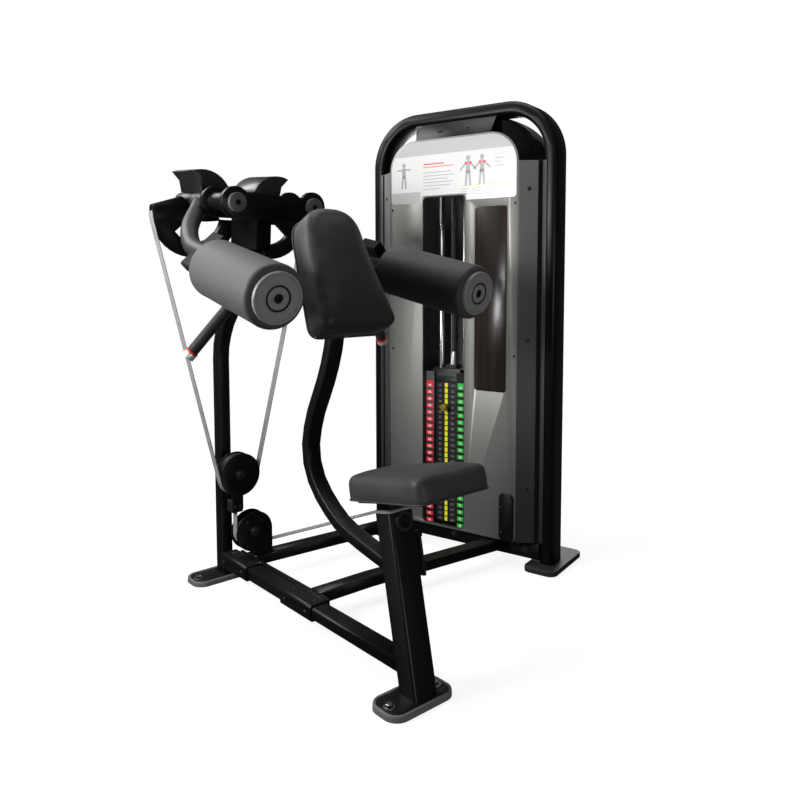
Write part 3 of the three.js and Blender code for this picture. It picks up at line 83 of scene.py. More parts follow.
class Finish:
    def __init__(self, name, **fixed):
        self.material = bpy.data.materials.new(name)
        self.material.use_nodes = True
        self.tree = self.material.node_tree
        self.surface = self.tree.nodes["Principled BSDF"]
        for key, value in fixed.items():
            self.surface.inputs[key.replace("_", " ")].default_value = value
        self.spot = self.node("ShaderNodeTexCoord", {}, {}, "Object")

    def node(self, kind, settings, sockets, output=0):
        made = self.tree.nodes.new(kind)
        for key, value in settings.items():
            if key == "stops":
                ramp = made.color_ramp
                while len(ramp.elements) < len(value):
                    ramp.elements.new(1)
                for element, (place, colour) in zip(ramp.elements, value):
                    element.position = place
                    element.color = (*colour, 1)
            else:
                setattr(made, key, value)
        for key, value in sockets.items():
            if isinstance(value, Value):
                self.tree.links.new(value.socket, made.inputs[key])
            else:
                made.inputs[key].default_value = value
        return Value(self, made.outputs[output])

    def noise(self, scale, detail=3, rough=0.55, vector=None):
        return self.node("ShaderNodeTexNoise", {}, {
            "Vector": vector or self.spot, "Scale": scale, "Detail": detail, "Roughness": rough})

    def stretched(self, x, y, z):
        return self.node("ShaderNodeVectorMath", {"operation": "MULTIPLY"}, {0: self.spot, 1: (x, y, z)})

    def mix(self, share, first, second):
        return self.node("ShaderNodeMix", {"data_type": "RGBA"}, {0: share, 6: first, 7: second}, 2)

    def ramp(self, value, stops):
        return self.node("ShaderNodeValToRGB", {"stops": stops}, {"Fac": value})

    def spread(self, value, low, high):
        return self.node("ShaderNodeMapRange", {}, {0: value, 1: low, 2: high})

    def upward(self):
        normal = self.node("ShaderNodeNewGeometry", {}, {}, "Normal")
        return self.node("ShaderNodeSeparateXYZ", {}, {0: normal}, 2)

    def bump(self, height, depth, strength=1.0):
        return self.node("ShaderNodeBump", {}, {"Height": height, "Distance": depth, "Strength": strength})

    def feed(self, **links):
        for key, value in links.items():
            self.tree.links.new(value.socket, self.surface.inputs[key.replace("_", " ")])
        return self.material


def tone(colour, factor):
    return tuple(min(1, part * factor) for part in colour) + (1,)


# Powder coat: fine orange peel, patchy gloss, and a little dust on what faces up that also serves as a
# painted highlight on the tops
def powderCoat(name, colour, gloss=0.36, dustAndHighlightAmount=0.5, peel=0.00018, shine=0.36):
    finish = Finish(name, Specular_IOR_Level=shine)
    patches = finish.noise(5, 4)
    specks = finish.noise(260, 2)
    # Lighter colour on faces turned up: dust, and in part a painted highlight
    dustAndHighlightShare = finish.spread(finish.upward(), 0.2, 1.0) * patches * dustAndHighlightAmount
    body = finish.mix(patches, tone(colour, 0.82), tone(colour, 1.2))
    paint = finish.mix(dustAndHighlightShare, body, tone((0.075, 0.072, 0.062), 1))
    return finish.feed(
        Base_Color=paint,
        Roughness=patches * 0.12 + specks * 0.05 + (gloss - 0.08),
        Normal=finish.bump(finish.noise(700, 2), peel, 0.6))


# Upholstery: small leather grain over slow waves, polished where it bulges
def upholstery(name, colour, gloss=0.44, sheen=0.12):
    finish = Finish(name, Sheen_Weight=sheen, Sheen_Roughness=0.45, Specular_IOR_Level=0.45)
    cells = finish.node("ShaderNodeTexVoronoi", {"feature": "SMOOTH_F1"}, {
        "Vector": finish.spot, "Scale": 520.0, "Smoothness": 0.35})
    pores = finish.noise(1400, 2)
    patches = finish.noise(9, 4)
    skin = finish.mix(cells, tone(colour, 0.75), tone(colour, 1.35))
    grain = finish.mix(patches, skin, tone(colour, 1.15))
    height = cells * 0.7 + pores * 0.3 + patches * 1.5
    return finish.feed(
        Base_Color=grain,
        Roughness=patches * 0.14 + cells * 0.1 + (gloss - 0.1),
        Normal=finish.bump(height, 0.0006, 0.55))


# Moulded rubber and plastics: mould grain, scuffs, and dust in patches on faces turned up, which also serves
# as a painted highlight on the tops
def moulded(name, colour, gloss=0.55, grain=0.0003, dustAndHighlightAmount=0.25, scale=420, shine=0.4):
    finish = Finish(name, Specular_IOR_Level=shine)
    patches = finish.noise(12, 4)
    fine = finish.noise(scale, 3)
    scuffs = finish.spread(finish.noise(46, 6, 0.7), 0.55, 0.8)
    # Lighter colour on faces turned up: dust, and in part a painted highlight
    dustAndHighlightShare = finish.spread(finish.upward(), 0.1, 1.0) * patches * dustAndHighlightAmount
    body = finish.mix(fine, tone(colour, 0.8), tone(colour, 1.22))
    worn = finish.mix(scuffs * 0.35, body, tone(colour, 1.9))
    top = finish.mix(dustAndHighlightShare, worn, (0.13, 0.125, 0.115, 1))
    return finish.feed(
        Base_Color=top,
        Roughness=scuffs * 0.12 + patches * 0.08 + (gloss - 0.05),
        Normal=finish.bump(fine, grain, 0.5))


# Bare and plated metal: drawn lines along the piece, faint smears
def bareMetal(name, colour, gloss=0.18, lines=(30, 30, 900), metal=1.0, depth=0.00003):
    finish = Finish(name, Metallic=metal)
    drawn = finish.noise(1, 3, 0.6, finish.stretched(*lines))
    smears = finish.noise(16, 4)
    return finish.feed(
        Base_Color=finish.mix(smears, tone(colour, 0.85), tone(colour, 1.08)),
        Roughness=smears * 0.12 + drawn * 0.06 + (gloss - 0.06),
        Normal=finish.bump(drawn, depth, 0.4))


# Sheet steel coat: soft satin with slow waves in the sheet, so that reflections drift, and painted shade that
# darkens it towards the floor
def sheetCoat(name, colour, gloss=0.4):
    finish = Finish(name, Coat_Weight=0.12, Coat_Roughness=0.3, Metallic=0.45)
    waves = finish.noise(2.2, 2, 0.4, finish.stretched(1, 1, 0.45))
    patches = finish.noise(7, 4)
    fine = finish.noise(900, 2)
    tint = finish.mix(waves, tone(colour, 0.86), tone(colour, 1.16))
    # Painted shade: the colour darkens towards the floor, from 0.62 m down to 0.22 m up
    height = finish.node("ShaderNodeSeparateXYZ", {}, {0: finish.spot}, 2)
    paintedShadeLow = 1 - finish.spread(height, 0.22, 0.62)
    sheet = finish.mix(patches * 0.3, tint, tone(colour, 0.95))
    return finish.feed(
        Base_Color=finish.mix(paintedShadeLow * 0.7, sheet, tone(colour, 0.4)),
        Roughness=patches * 0.1 + fine * 0.04 + (gloss - 0.05),
        Normal=finish.bump(waves * 2.5 + fine * 0.01, 0.004, 0.35))


# Smoked window: deep brown, polished, with faint upright streaks in the sheet
def smokedSheet(name):
    finish = Finish(name, Coat_Weight=0.26, Coat_Roughness=0.16, Specular_IOR_Level=0.25)
    streaks = finish.noise(1, 3, 0.5, finish.stretched(26, 26, 0.6))
    wipe = finish.noise(14, 5)
    return finish.feed(
        Base_Color=finish.ramp(streaks, [(0.3, (0.010, 0.007, 0.006)), (0.56, (0.028, 0.019, 0.016)),
                                         (0.72, (0.075, 0.055, 0.047))]),
        Roughness=wipe * 0.1 + 0.2,
        Normal=finish.bump(streaks, 0.0006, 0.15))


# Flat belt: woven ribs along its length, darker worn patches
def beltWeb(name, colour):
    finish = Finish(name)
    ribs = finish.noise(1, 2, 0.5, finish.stretched(900, 900, 160))
    wear = finish.noise(24, 5)
    body = finish.mix(ribs, tone(colour, 0.7), tone(colour, 1.25))
    return finish.feed(
        Base_Color=finish.mix(finish.spread(wear, 0.5, 0.75), body, tone(colour, 0.62)),
        Roughness=wear * 0.2 + 0.45,
        Normal=finish.bump(ribs, 0.0004, 0.7))


# Printed faces: flat ink with a slight mottle under a satin film
def printed(name, colour, gloss=0.35):
    finish = Finish(name, Coat_Weight=0.3, Coat_Roughness=0.2)
    mottle = finish.noise(120, 3)
    ink = finish.noise(1800, 2)
    return finish.feed(
        Base_Color=finish.mix(mottle, tone(colour, 0.93), tone(colour, 1.05)),
        Roughness=mottle * 0.1 + ink * 0.04 + (gloss - 0.06),
        Normal=finish.bump(ink, 0.00008, 0.3))


finishes = {
    "blackCoat": powderCoat("blackCoat", (0.0034, 0.0034, 0.0032), 0.36, dustAndHighlightAmount=0.14, shine=0.26),
    "hoopCoat": powderCoat("hoopCoat", (0.0042, 0.0041, 0.0036), 0.36, dustAndHighlightAmount=0.12, shine=0.22),
    "graphiteCoat": powderCoat("graphiteCoat", (0.016, 0.0165, 0.0175), 0.5, dustAndHighlightAmount=0.3),
    # The counterweights' tops are made lighter here, in part a painted highlight
    "weightCoat": powderCoat("weightCoat", (0.01, 0.01, 0.0096), 0.34, dustAndHighlightAmount=0.7, peel=0.0003, shine=0.7),
    "leather": upholstery("leather", (0.0185, 0.0185, 0.018), 0.5, 0.08),
    # The seat's leather is a lighter copy of the chest's, painted lighter to stand in for the stronger light
    # on the seat
    "seatLeatherLitCopy": upholstery("seatLeatherLitCopy", (0.03, 0.0295, 0.0275), 0.54, 0.06),
    "rollerSkin": upholstery("rollerSkin", (0.056, 0.056, 0.055), 0.62, 0.04),
    "capPlastic": moulded("capPlastic", (0.25, 0.251, 0.252), 0.42, dustAndHighlightAmount=0.1),
    "grooveBlack": moulded("grooveBlack", (0.006, 0.006, 0.006), 0.6, 0.0001, dustAndHighlightAmount=0.0, shine=0.15),
    "clampBlack": moulded("clampBlack", (0.0075, 0.0075, 0.0075), 0.7, 0.0002, dustAndHighlightAmount=0.05, shine=0.12),
    "blackPlastic": moulded("blackPlastic", (0.012, 0.012, 0.012), 0.42, 0.0002),
    "gripRubber": moulded("gripRubber", (0.014, 0.014, 0.014), 0.62, 0.0005, scale=300),
    "bootRubber": moulded("bootRubber", (0.15, 0.15, 0.145), 0.62, 0.0004, dustAndHighlightAmount=0.5),
    "bootDark": moulded("bootDark", (0.02, 0.02, 0.02), 0.62, 0.0004),
    "panelGrey": sheetCoat("panelGrey", (0.265, 0.262, 0.25)),
    "coverGrey": sheetCoat("coverGrey", (0.095, 0.095, 0.092), 0.46),
    "shroudGrey": moulded("shroudGrey", (0.15, 0.15, 0.145), 0.45, 0.0003, dustAndHighlightAmount=0.1),
    "smoked": smokedSheet("smoked"),
    "beltGrey": beltWeb("beltGrey", (0.30, 0.30, 0.285)),
    "chrome": bareMetal("chrome", (0.78, 0.78, 0.79), 0.26),
    "capChrome": bareMetal("capChrome", (0.85, 0.85, 0.85), 0.34, metal=0.6),
    "boltSteel": bareMetal("boltSteel", (0.42, 0.42, 0.43), 0.3, (400, 400, 400)),
    "blackBolt": bareMetal("blackBolt", (0.03, 0.03, 0.031), 0.42, (400, 400, 400), 0.5),
    "hubSteel": moulded("hubSteel", (0.11, 0.111, 0.113), 0.45, 0.00008, dustAndHighlightAmount=0.05),
    "stackIron": powderCoat("stackIron", (0.012, 0.012, 0.0125), 0.4, dustAndHighlightAmount=0.15, peel=0.0005),
    "placardWhite": printed("placardWhite", (0.84, 0.84, 0.825)),
    "placardGrey": printed("placardGrey", (0.56, 0.565, 0.56)),
    "placardPale": printed("placardPale", (0.56, 0.56, 0.55)),
    "inkGrey": printed("inkGrey", (0.27, 0.27, 0.27)),
    "inkPale": printed("inkPale", (0.42, 0.42, 0.42)),
    "inkRed": printed("inkRed", (0.85, 0.02, 0.04)),
    "inkWhite": printed("inkWhite", (0.92, 0.92, 0.9)),
    "inkGreen": printed("inkGreen", (0.04, 0.62, 0.07)),
    "inkYellow": printed("inkYellow", (0.95, 0.88, 0.02)),
    "ringRed": moulded("ringRed", (0.55, 0.03, 0.02), 0.4, 0.0001),
    "collarGrey": moulded("collarGrey", (0.30, 0.30, 0.29), 0.4, 0.0002),
    "knobYellow": moulded("knobYellow", (0.20, 0.15, 0.012), 0.45, 0.0001, shine=0.2),
}
print("finishes made:", len(finishes))


# Meshes: points are given in a part's own millimetres and placed by its matrix

def shaded(mesh, angle=38):
    for polygon in mesh.polygons:
        polygon.use_smooth = True
    mesh.set_sharp_from_angle(angle=math.radians(angle))


def linked(name, data):
    made = bpy.data.objects.new(name, data)
    bpy.context.scene.collection.objects.link(made)
    return made


def piece(name, group, body, finish, place=station, replaces=(), edge=0.0, angle=38, rides=True):
    points, faces = group
    mesh = bpy.data.meshes.new(name)
    mesh.from_pydata([place @ Vector(spot) for spot in points], [], faces)
    built = bmesh.new()
    built.from_mesh(mesh)
    bmesh.ops.recalc_face_normals(built, faces=built.faces)
    built.to_mesh(mesh)
    built.free()
    made = linked(name, mesh)
    mesh.materials.append(finishes[finish])
    if edge:
        roundEdges(made, edge)
    shaded(mesh, angle)
    if rides:
        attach(made, body)
    if replaces:
        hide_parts(*replaces)
    return made


def roundEdges(made, edge, steps=2):
    soft = made.modifiers.new("edges", "BEVEL")
    soft.width = edge / 1000
    soft.segments = steps
    soft.limit_method = "ANGLE"
    soft.angle_limit = math.radians(38)
    soft.harden_normals = True


def parts(*groups):
    points, faces = [], []
    for spots, sides in groups:
        shift = len(points)
        points.extend(spots)
        faces.extend([tuple(i + shift for i in side) for side in sides])
    return points, faces


# Rows of as many points each, joined by four-sided faces: round on themselves, or with the two ends capped
def lofted(rows, joined=False, capped=True):
    count = len(rows[0])
    faces = []
    for row in range(len(rows) if joined else len(rows) - 1):
        here, there = row * count, (row + 1) % len(rows) * count
        for k in range(count):
            after = (k + 1) % count
            faces.append((here + k, here + after, there + after, there + k))
    if capped and not joined:
        faces += [tuple(range(count)), tuple(range((len(rows) - 1) * count, len(rows) * count))]
    return [spot for row in rows for spot in row], faces


def moved(group, matrix):
    return [matrix @ Vector(spot) for spot in group[0]], group[1]


def block(x0, x1, y0, y1, z0, z1):
    spots = [(x, y, z) for z in (z0, z1) for y in (y0, y1) for x in (x0, x1)]
    return spots, [(0, 2, 3, 1), (4, 5, 7, 6), (0, 1, 5, 4), (2, 6, 7, 3), (0, 4, 6, 2), (1, 3, 7, 5)]


def roundOutline(x0, y0, x1, y1, radius, topRadius=None, steps=10):
    top = radius if topRadius is None else topRadius
    corners = [(x1 - radius, y0 + radius, radius, -90), (x1 - top, y1 - top, top, 0),
               (x0 + top, y1 - top, top, 90), (x0 + radius, y0 + radius, radius, 180)]
    spots = []
    for x, y, r, start in corners:
        for k in range(steps + 1):
            angle = math.radians(start + 90 * k / steps)
            spots.append((x + r * math.cos(angle), y + r * math.sin(angle)))
    return spots


def slab(outline, low, high, plane="z"):
    count = len(outline)
    spots = [(a, b, level) if plane == "z" else (a, level, b) for level in (low, high) for a, b in outline]
    sides = [(i, (i + 1) % count, (i + 1) % count + count, i + count) for i in range(count)]
    return spots, sides + [tuple(range(count)), tuple(range(count, 2 * count))]


# A profile of (radius, distance) turned about the line from start along direction
def turned(profile, start, direction, sides=64, closed=False):
    along = Vector(direction).normalized()
    across = along.orthogonal().normalized()
    other = along.cross(across)
    rows = []
    for radius, distance in profile:
        middle = Vector(start) + along * distance
        angles = [2 * math.pi * k / sides for k in range(sides)]
        rows.append([middle + across * radius * math.cos(angle) + other * radius * math.sin(angle)
                     for angle in angles])
    return lofted(rows, closed)


def disc(centre, direction, radius, thick, sides=64, edge=1.0):
    profile = [(radius - edge, 0), (radius - edge * 0.3, edge * 0.3), (radius, edge), (radius, thick - edge),
               (radius - edge * 0.3, thick - edge * 0.3), (radius - edge, thick)]
    return turned(profile, centre, direction, sides)


def hexBolt(centre, direction, radius, thick, washer=0):
    along = Vector(direction).normalized()
    made = [turned([(radius * 0.93, thick), (radius, thick * 0.8), (radius, 0)], centre, along, 6)]
    if washer:
        made.append(disc(Vector(centre) - along * 0.2, along, washer, 1.8, 32, 0.4))
    return parts(*made)


# A button head with its six-sided socket
def buttonHead(centre, direction, radius, thick, sides=30):
    centre = Vector(centre)
    along = Vector(direction).normalized()
    dome = [(radius * math.cos(a), thick * math.sin(a)) for a in [k * math.pi / 16 for k in range(7)]]
    rim = dome + [(radius * 0.42, thick * 0.97), (radius * 0.40, thick * 0.3), (0.01, thick * 0.28)]
    return turned(rim, centre, along, sides)


# A smooth line through points, as a centripetal spline
def smoothLine(points, steps):
    spots = [Vector(spot) for spot in points]
    spots = [spots[0] * 2 - spots[1]] + spots + [spots[-1] * 2 - spots[-2]]
    line = []
    for i in range(1, len(spots) - 2):
        near = spots[i - 1:i + 3]
        knots = [0]
        for a, b in zip(near, near[1:]):
            knots.append(knots[-1] + (b - a).length ** 0.5)
        for k in range(steps):
            t = knots[1] + (knots[2] - knots[1]) * k / steps
            level = list(near)
            for depth in (1, 2, 3):
                level = [level[j] * ((knots[j + depth] - t) / (knots[j + depth] - knots[j]))
                         + level[j + 1] * ((t - knots[j]) / (knots[j + depth] - knots[j]))
                         for j in range(4 - depth)]
            line.append(level[0])
    return line + [spots[-2]]


def swept(line, section):
    rows = []
    across = (line[1] - line[0]).orthogonal().normalized()
    for i, spot in enumerate(line):
        along = (line[min(i + 1, len(line) - 1)] - line[max(i - 1, 0)]).normalized()
        across = (across - along * across.dot(along)).normalized()
        other = along.cross(across)
        rows.append([spot + across * a + other * b for a, b in section])
    return lofted(rows)


def circle(radius, sides=28):
    return [(radius * math.cos(2 * math.pi * k / sides), radius * math.sin(2 * math.pi * k / sides))
            for k in range(sides)]


def kept(name, finish, edge=0.0):
    made = nodes[name]
    made.data.materials.clear()
    made.data.materials.append(finishes[finish])
    weld = made.modifiers.new("weld", "WELD")
    weld.merge_threshold = 0.00002
    shaded(made.data)
    if edge:
        roundEdges(made, edge)
    return made


# Frame of the station and the tower, as the model has it, with rounded edges
keptNodes = {
    "blackCoat": {
        "base_tube": 0, "side_rail": 1.2, "rear_cross_tube": 0, "front_cross_tube": 0, "front_sleeve": 1.2,
        "rear_sleeve": 1.2, "seat_upright": 1.2, "rear_upright": 1.5, "pad_support": 1.2, "seat_post": 1.2,
        "head_bracket": 1.5, "tower_beam": 2.0, "top_bracket": 1.0, "corner_cover": 0.8, "cam_left": 1.5,
        "cam_right": 1.5},
    "weightCoat": {"counterweight_left": 2.0, "counterweight_right": 2.0},
    "hoopCoat": {"tower_hoop": 0},
    "panelGrey": {"front_panel": 0.8},
    "coverGrey": {"side_cover_left": 0.8, "side_cover_right": 0.8},
    "shroudGrey": {"rear_shroud": 3.0},
    "smoked": {"smoked_panel": 0.8},
    "blackPlastic": {"label_strip_left": 0.6, "label_strip_right": 0.6, "seat_lever": 1.5},
    "bootDark": {"stack_bumper": 1.0},
    "chrome": {"guide_rod_left": 0, "guide_rod_right": 0, "selector_rod": 0},
    "stackIron": {"resting_plates": 0.5, "lifted_plates": 0.5, "top_plate": 2.0},
    "knobYellow": {"selector_pin": 1.0},
}
for finish, group in keptNodes.items():
    for name, edge in group.items():
        kept(name, finish, edge)
print("kept nodes dressed")


# Cushions: a flat base, sides drawn in a little over the board, a soft shoulder and a crown

clothRun = {"voxel": 0.0045, "pressure": 4, "frames": 20, "reach": 0.005, "calm": 24, "shrink": 2.5,
            "stiffness": 40, "bending": 8, "quality": 5, "held": 0.08, "freeing": 0.25}


def padOutline(low, high, lowHalf, highHalf, lowCorner, highCorner, steps=12):
    corners = [(-lowHalf, low, lowCorner), (lowHalf, low, lowCorner),
               (highHalf, high, highCorner), (-highHalf, high, highCorner)]
    spots = []
    for i, (x, y, corner) in enumerate(corners):
        here = Vector((x, y))
        back = (Vector(corners[i - 1][:2]) - here).normalized()
        ahead = (Vector(corners[(i + 1) % 4][:2]) - here).normalized()
        enter, leave = here + back * corner, here + ahead * corner
        for k in range(steps + 1):
            t = k / steps
            spots.append(enter * (1 - t) ** 2 + here * 2 * t * (1 - t) + leave * t * t)
    return evenly(spots, 132)


def evenly(spots, count):
    loop = spots + [spots[0]]
    lengths = [(b - a).length for a, b in zip(loop, loop[1:])]
    total = sum(lengths)
    made, walked, i = [], 0, 0
    for k in range(count):
        goal = total * k / count
        while walked + lengths[i] < goal:
            walked += lengths[i]
            i += 1
        made.append(loop[i].lerp(loop[i + 1], (goal - walked) / max(lengths[i], 1e-9)))
    return made


def inwardOf(outline):
    made = []
    for i, spot in enumerate(outline):
        along = outline[(i + 1) % len(outline)] - outline[i - 1]
        made.append(Vector((-along.y, along.x)).normalized())
    return made


# The cover is blown up as cloth over an even mesh, held at its base and let out a few millimetres at most
def inflate(made, place, size):
    scene = bpy.context.scene
    even = made.modifiers.new("even", "REMESH")
    even.mode = "VOXEL"
    even.voxel_size = clothRun["voxel"]
    graph = bpy.context.evaluated_depsgraph_get()
    mesh = bpy.data.meshes.new_from_object(made.evaluated_get(graph))
    made.modifiers.clear()
    made.data = mesh
    start = [spot.co.copy() for spot in mesh.vertices]
    toPad = place.inverted()
    held = made.vertex_groups.new(name="held")
    freedom = []
    for i, spot in enumerate(start):
        height = (toPad @ spot).z / size["thickness"]
        free = min(1, max(0, (height - clothRun["held"]) / clothRun["freeing"]))
        freedom.append(free)
        held.add([i], 1 if free == 0 else 0.0, "REPLACE")
    cloth = made.modifiers.new("cloth", "CLOTH")
    cloth.settings.quality = clothRun["quality"]
    cloth.settings.tension_stiffness = clothRun["stiffness"]
    cloth.settings.bending_stiffness = clothRun["bending"]
    cloth.settings.use_pressure = True
    cloth.settings.uniform_pressure_force = clothRun["pressure"]
    cloth.settings.effector_weights.gravity = 0
    cloth.settings.vertex_group_mass = "held"
    cloth.point_cache.frame_start = 1
    cloth.point_cache.frame_end = clothRun["frames"]
    for step in range(1, clothRun["frames"] + 1):
        scene.frame_set(step)
    blown = made.evaluated_get(bpy.context.evaluated_depsgraph_get()).data
    swell = []
    for before, after, spot, free in zip(start, blown.vertices, mesh.vertices, freedom):
        out = (after.co - before).dot(spot.normal)
        swell.append(min(clothRun["reach"], max(-clothRun["reach"], out)) * free)
    near = [[] for spot in mesh.vertices]
    for edge in mesh.edges:
        a, b = edge.vertices
        near[a].append(b)
        near[b].append(a)
    for k in range(clothRun["calm"]):
        swell = [(own + sum(swell[j] for j in near[i])) / (1 + len(near[i])) for i, own in enumerate(swell)]
    normals = [spot.normal.copy() for spot in mesh.vertices]
    for spot, before, normal, out, free in zip(mesh.vertices, start, normals, swell, freedom):
        spot.co = before + normal * out * free
    made.modifiers.clear()
    made.vertex_groups.clear()
    scene.frame_set(1)
    finer = made.modifiers.new("finer", "SUBSURF")
    finer.levels = finer.render_levels = 1
    shaded(mesh, 75)


def cushion(name, outline, size, place, body, node, finish):
    centre = sum(outline, Vector((0, 0))) / len(outline)
    inward = inwardOf(outline)
    thick, crown, shoulder = size["thickness"], size["crown"], size["shoulder"]
    outline = [spot + inner * clothRun["shrink"] for spot, inner in zip(outline, inward)]
    thick -= clothRun["shrink"]
    rings = [(size["tuck"], 0.0, 0), (size["tuck"] * 0.4, 1.6, 0), (size["tuck"] * 0.15, 4.5, 0),
             (0.4, thick * 0.14, 0), (0.0, thick * 0.34, 0), (0.0, thick * 0.5, 0)]
    for k in range(10):
        inset = shoulder * (1 - math.cos(math.pi / 2 * k / 9))
        drop = shoulder * (1 - math.sin(math.pi / 2 * k / 9))
        rings.append((0.2 + inset, thick - 0.8 - drop, 0))
    for k in range(1, 12):
        rings.append((shoulder, thick - 0.8 + (crown + 0.8) * (1 - (1 - k / 12) ** 1.8), k / 12))
    rows = []
    count = len(outline)
    for inset, height, share in rings:
        rows.append([])
        for spot, inner in zip(outline, inward):
            flat = (spot + inner * inset).lerp(centre, share)
            drift = noise.noise(Vector((flat.x, flat.y, height)) / 55) * size["wander"]
            fold = noise.noise(Vector((flat.x / 9, flat.y / 9, 4.7))) * size["pucker"]
            fold *= math.exp(-((height - thick * 0.1) / (thick * 0.14)) ** 2)
            lean = inner * (max(0, drift) * 0.5 + abs(fold)) * (1 - share)
            rise = drift if inset > shoulder * 0.6 else 0
            rows[-1].append((flat.x + lean.x, flat.y + lean.y, height + min(0.0, rise)))
    points, faces = lofted(rows, capped=False)
    points.append((centre.x, centre.y, thick + crown))
    top = (len(rings) - 1) * count
    faces.extend((top + k, top + (k + 1) % count, len(points) - 1) for k in range(count))
    faces.append(tuple(range(count)))
    made = piece(name, (points, faces), body, finish, place, (node,), angle=60)
    inflate(made, place, size)
    return made


def welt(name, outline, inset, height, radius, place, body, finish):
    line = [Vector((*(spot + inner * inset), height)) for spot, inner in zip(outline, inwardOf(outline))]
    rows = []
    for i, spot in enumerate(line):
        along = (line[(i + 1) % len(line)] - line[i - 1]).normalized()
        out = along.cross(Vector((0, 0, 1)))
        rows.append([spot + out * a + Vector((0, 0, b)) for a, b in circle(radius, 8)])
    piece(name, lofted(rows, True), body, finish, place)


seatPad = {"low": -245, "high": 95, "nearHalf": 121, "farHalf": 77, "corner": 36, "base": 497.3,
           "thickness": 67, "crown": 7, "shoulder": 21, "tuck": 6, "wander": 1.2, "pucker": 0.7}
outline = padOutline(seatPad["low"], seatPad["high"], seatPad["nearHalf"], seatPad["farHalf"],
                     seatPad["corner"], seatPad["corner"])
seatBase = post @ Matrix.Translation((0, 0, seatPad["base"]))
cushion("seatCushion", outline, seatPad, seatBase, "seat", "seat_pad", "seatLeatherLitCopy")
welt("seatWelt", outline, 2.4, 3.2, 2.3, seatBase, "seat", "seatLeatherLitCopy")

chestPad = {"low": -150, "high": 208, "lowHalf": 127, "highHalf": 86, "lowCorner": 38, "topCorner": 80,
            "thickness": 93, "crown": 6, "shoulder": 27, "tuck": 7, "wander": 1.2, "pucker": 0.7}
outline = padOutline(chestPad["low"], chestPad["high"], chestPad["lowHalf"], chestPad["highHalf"],
                     chestPad["lowCorner"], chestPad["topCorner"])
chestBase = chest @ Matrix.Translation((0, 0, -chestPad["thickness"]))
cushion("chestCushion", outline, chestPad, chestBase, "frame", "chest_pad", "leather")
welt("chestWelt", outline, 2.8, 3.4, 2.4, chestBase, "frame", "leather")
print("cushions made")


# Roller arms
roller = {"front": (319, 124, 993), "back": (296, 450, 1060), "radius": 76.5, "edge": 13, "bore": 13,
          "capRadius": 61, "capStand": 12}
armTube = {"radius": 25, "hubSpread": 132, "hubEnd": 262, "shares": [
    (0.316, 0.27, 0.27), (0.585, 0.49, 0.49), (0.8, 0.71, 0.71)], "corner": 185, "bend": 148, "lift": 25,
    "sleeve": (15.3, 27, 156.3, 261.7), "block": (124, 34, 70), "blockPlace": 40, "roll": 45}
grip = {"radius": 15.5, "top": (238, 498, 958), "end": (335, 550, 825), "stem": 36, "shares": [
    (-0.45, 0.859, 0.32), (-0.595, 1.25, 0.604), (-0.252, 1.25, 0.861), (0.901, 0.94, 0.989)],
    "cap": 16, "ring": 6, "ribs": 30}


def sided(spot, side):
    return Vector((spot[0] * side, spot[1], spot[2]))


def between(start, end, shares):
    return [Vector([a + (b - a) * share for a, b, share in zip(start, end, spot)]) for spot in shares]


def makeRoller(hand, side):
    front, back = sided(roller["front"], side), sided(roller["back"], side)
    along = (back - front).normalized()
    length = (back - front).length
    radius, edge, bore = roller["radius"], roller["edge"], roller["bore"]
    arcs = [k * math.pi / 16 for k in range(9)]
    profile = [(bore, 1.5), (radius - edge - 6, 1.5)]
    profile += [(radius - edge + edge * math.sin(a), edge - edge * math.cos(a)) for a in arcs]
    profile += [(radius - 0.5, length * k / 8) for k in range(1, 8)]
    profile += [(radius - edge + edge * math.cos(a), length - edge + edge * math.sin(a)) for a in arcs]
    profile += [(radius - edge - 6, length - 1.5), (bore, length - 1.5)]
    foam = piece(f"rollerFoam.{hand}", turned(profile, front, along, 96, True), f"{hand}_roller",
                 "rollerSkin", replaces=(f"roller_{hand}",), angle=50)
    cap, stand = roller["capRadius"], roller["capStand"]
    rim = [(11, stand - 0.3), (cap, stand - 0.3), (cap, 3.5), (cap - 1, 1.3), (cap - 3.4, 0), (cap - 7, 0.3),
           (cap - 9, 2.2), (33, 2.6), (31.2, 1.2), (28.4, 0.4), (26.6, 1.4), (25, 2.4), (15, 2.4),
           (13.4, 1.2), (11.4, 1.0), (11, 2.4)]
    face = front - along * stand
    piece(f"rollerCap.{hand}", turned(rim, face, along, 96, True), f"{hand}_roller", "capPlastic",
          replaces=(f"roller_cap_{hand}",), angle=30)
    groove = [(26.2, 1.9), (26.8, 0.5), (29.6, -0.1), (30.6, 0.3), (30.9, 1.9)]
    piece(f"rollerGroove.{hand}", turned(groove, face, along, 96, True), f"{hand}_roller", "grooveBlack")
    bolt = [(10.6, -2.5), (10.6, -9.5), (9.6, -10.6), (5.2, -10.6), (4.9, -7.0), (0.01, -6.8)]
    piece(f"rollerBolt.{hand}", turned(bolt, front, along, 40), f"{hand}_arm", "grooveBlack")


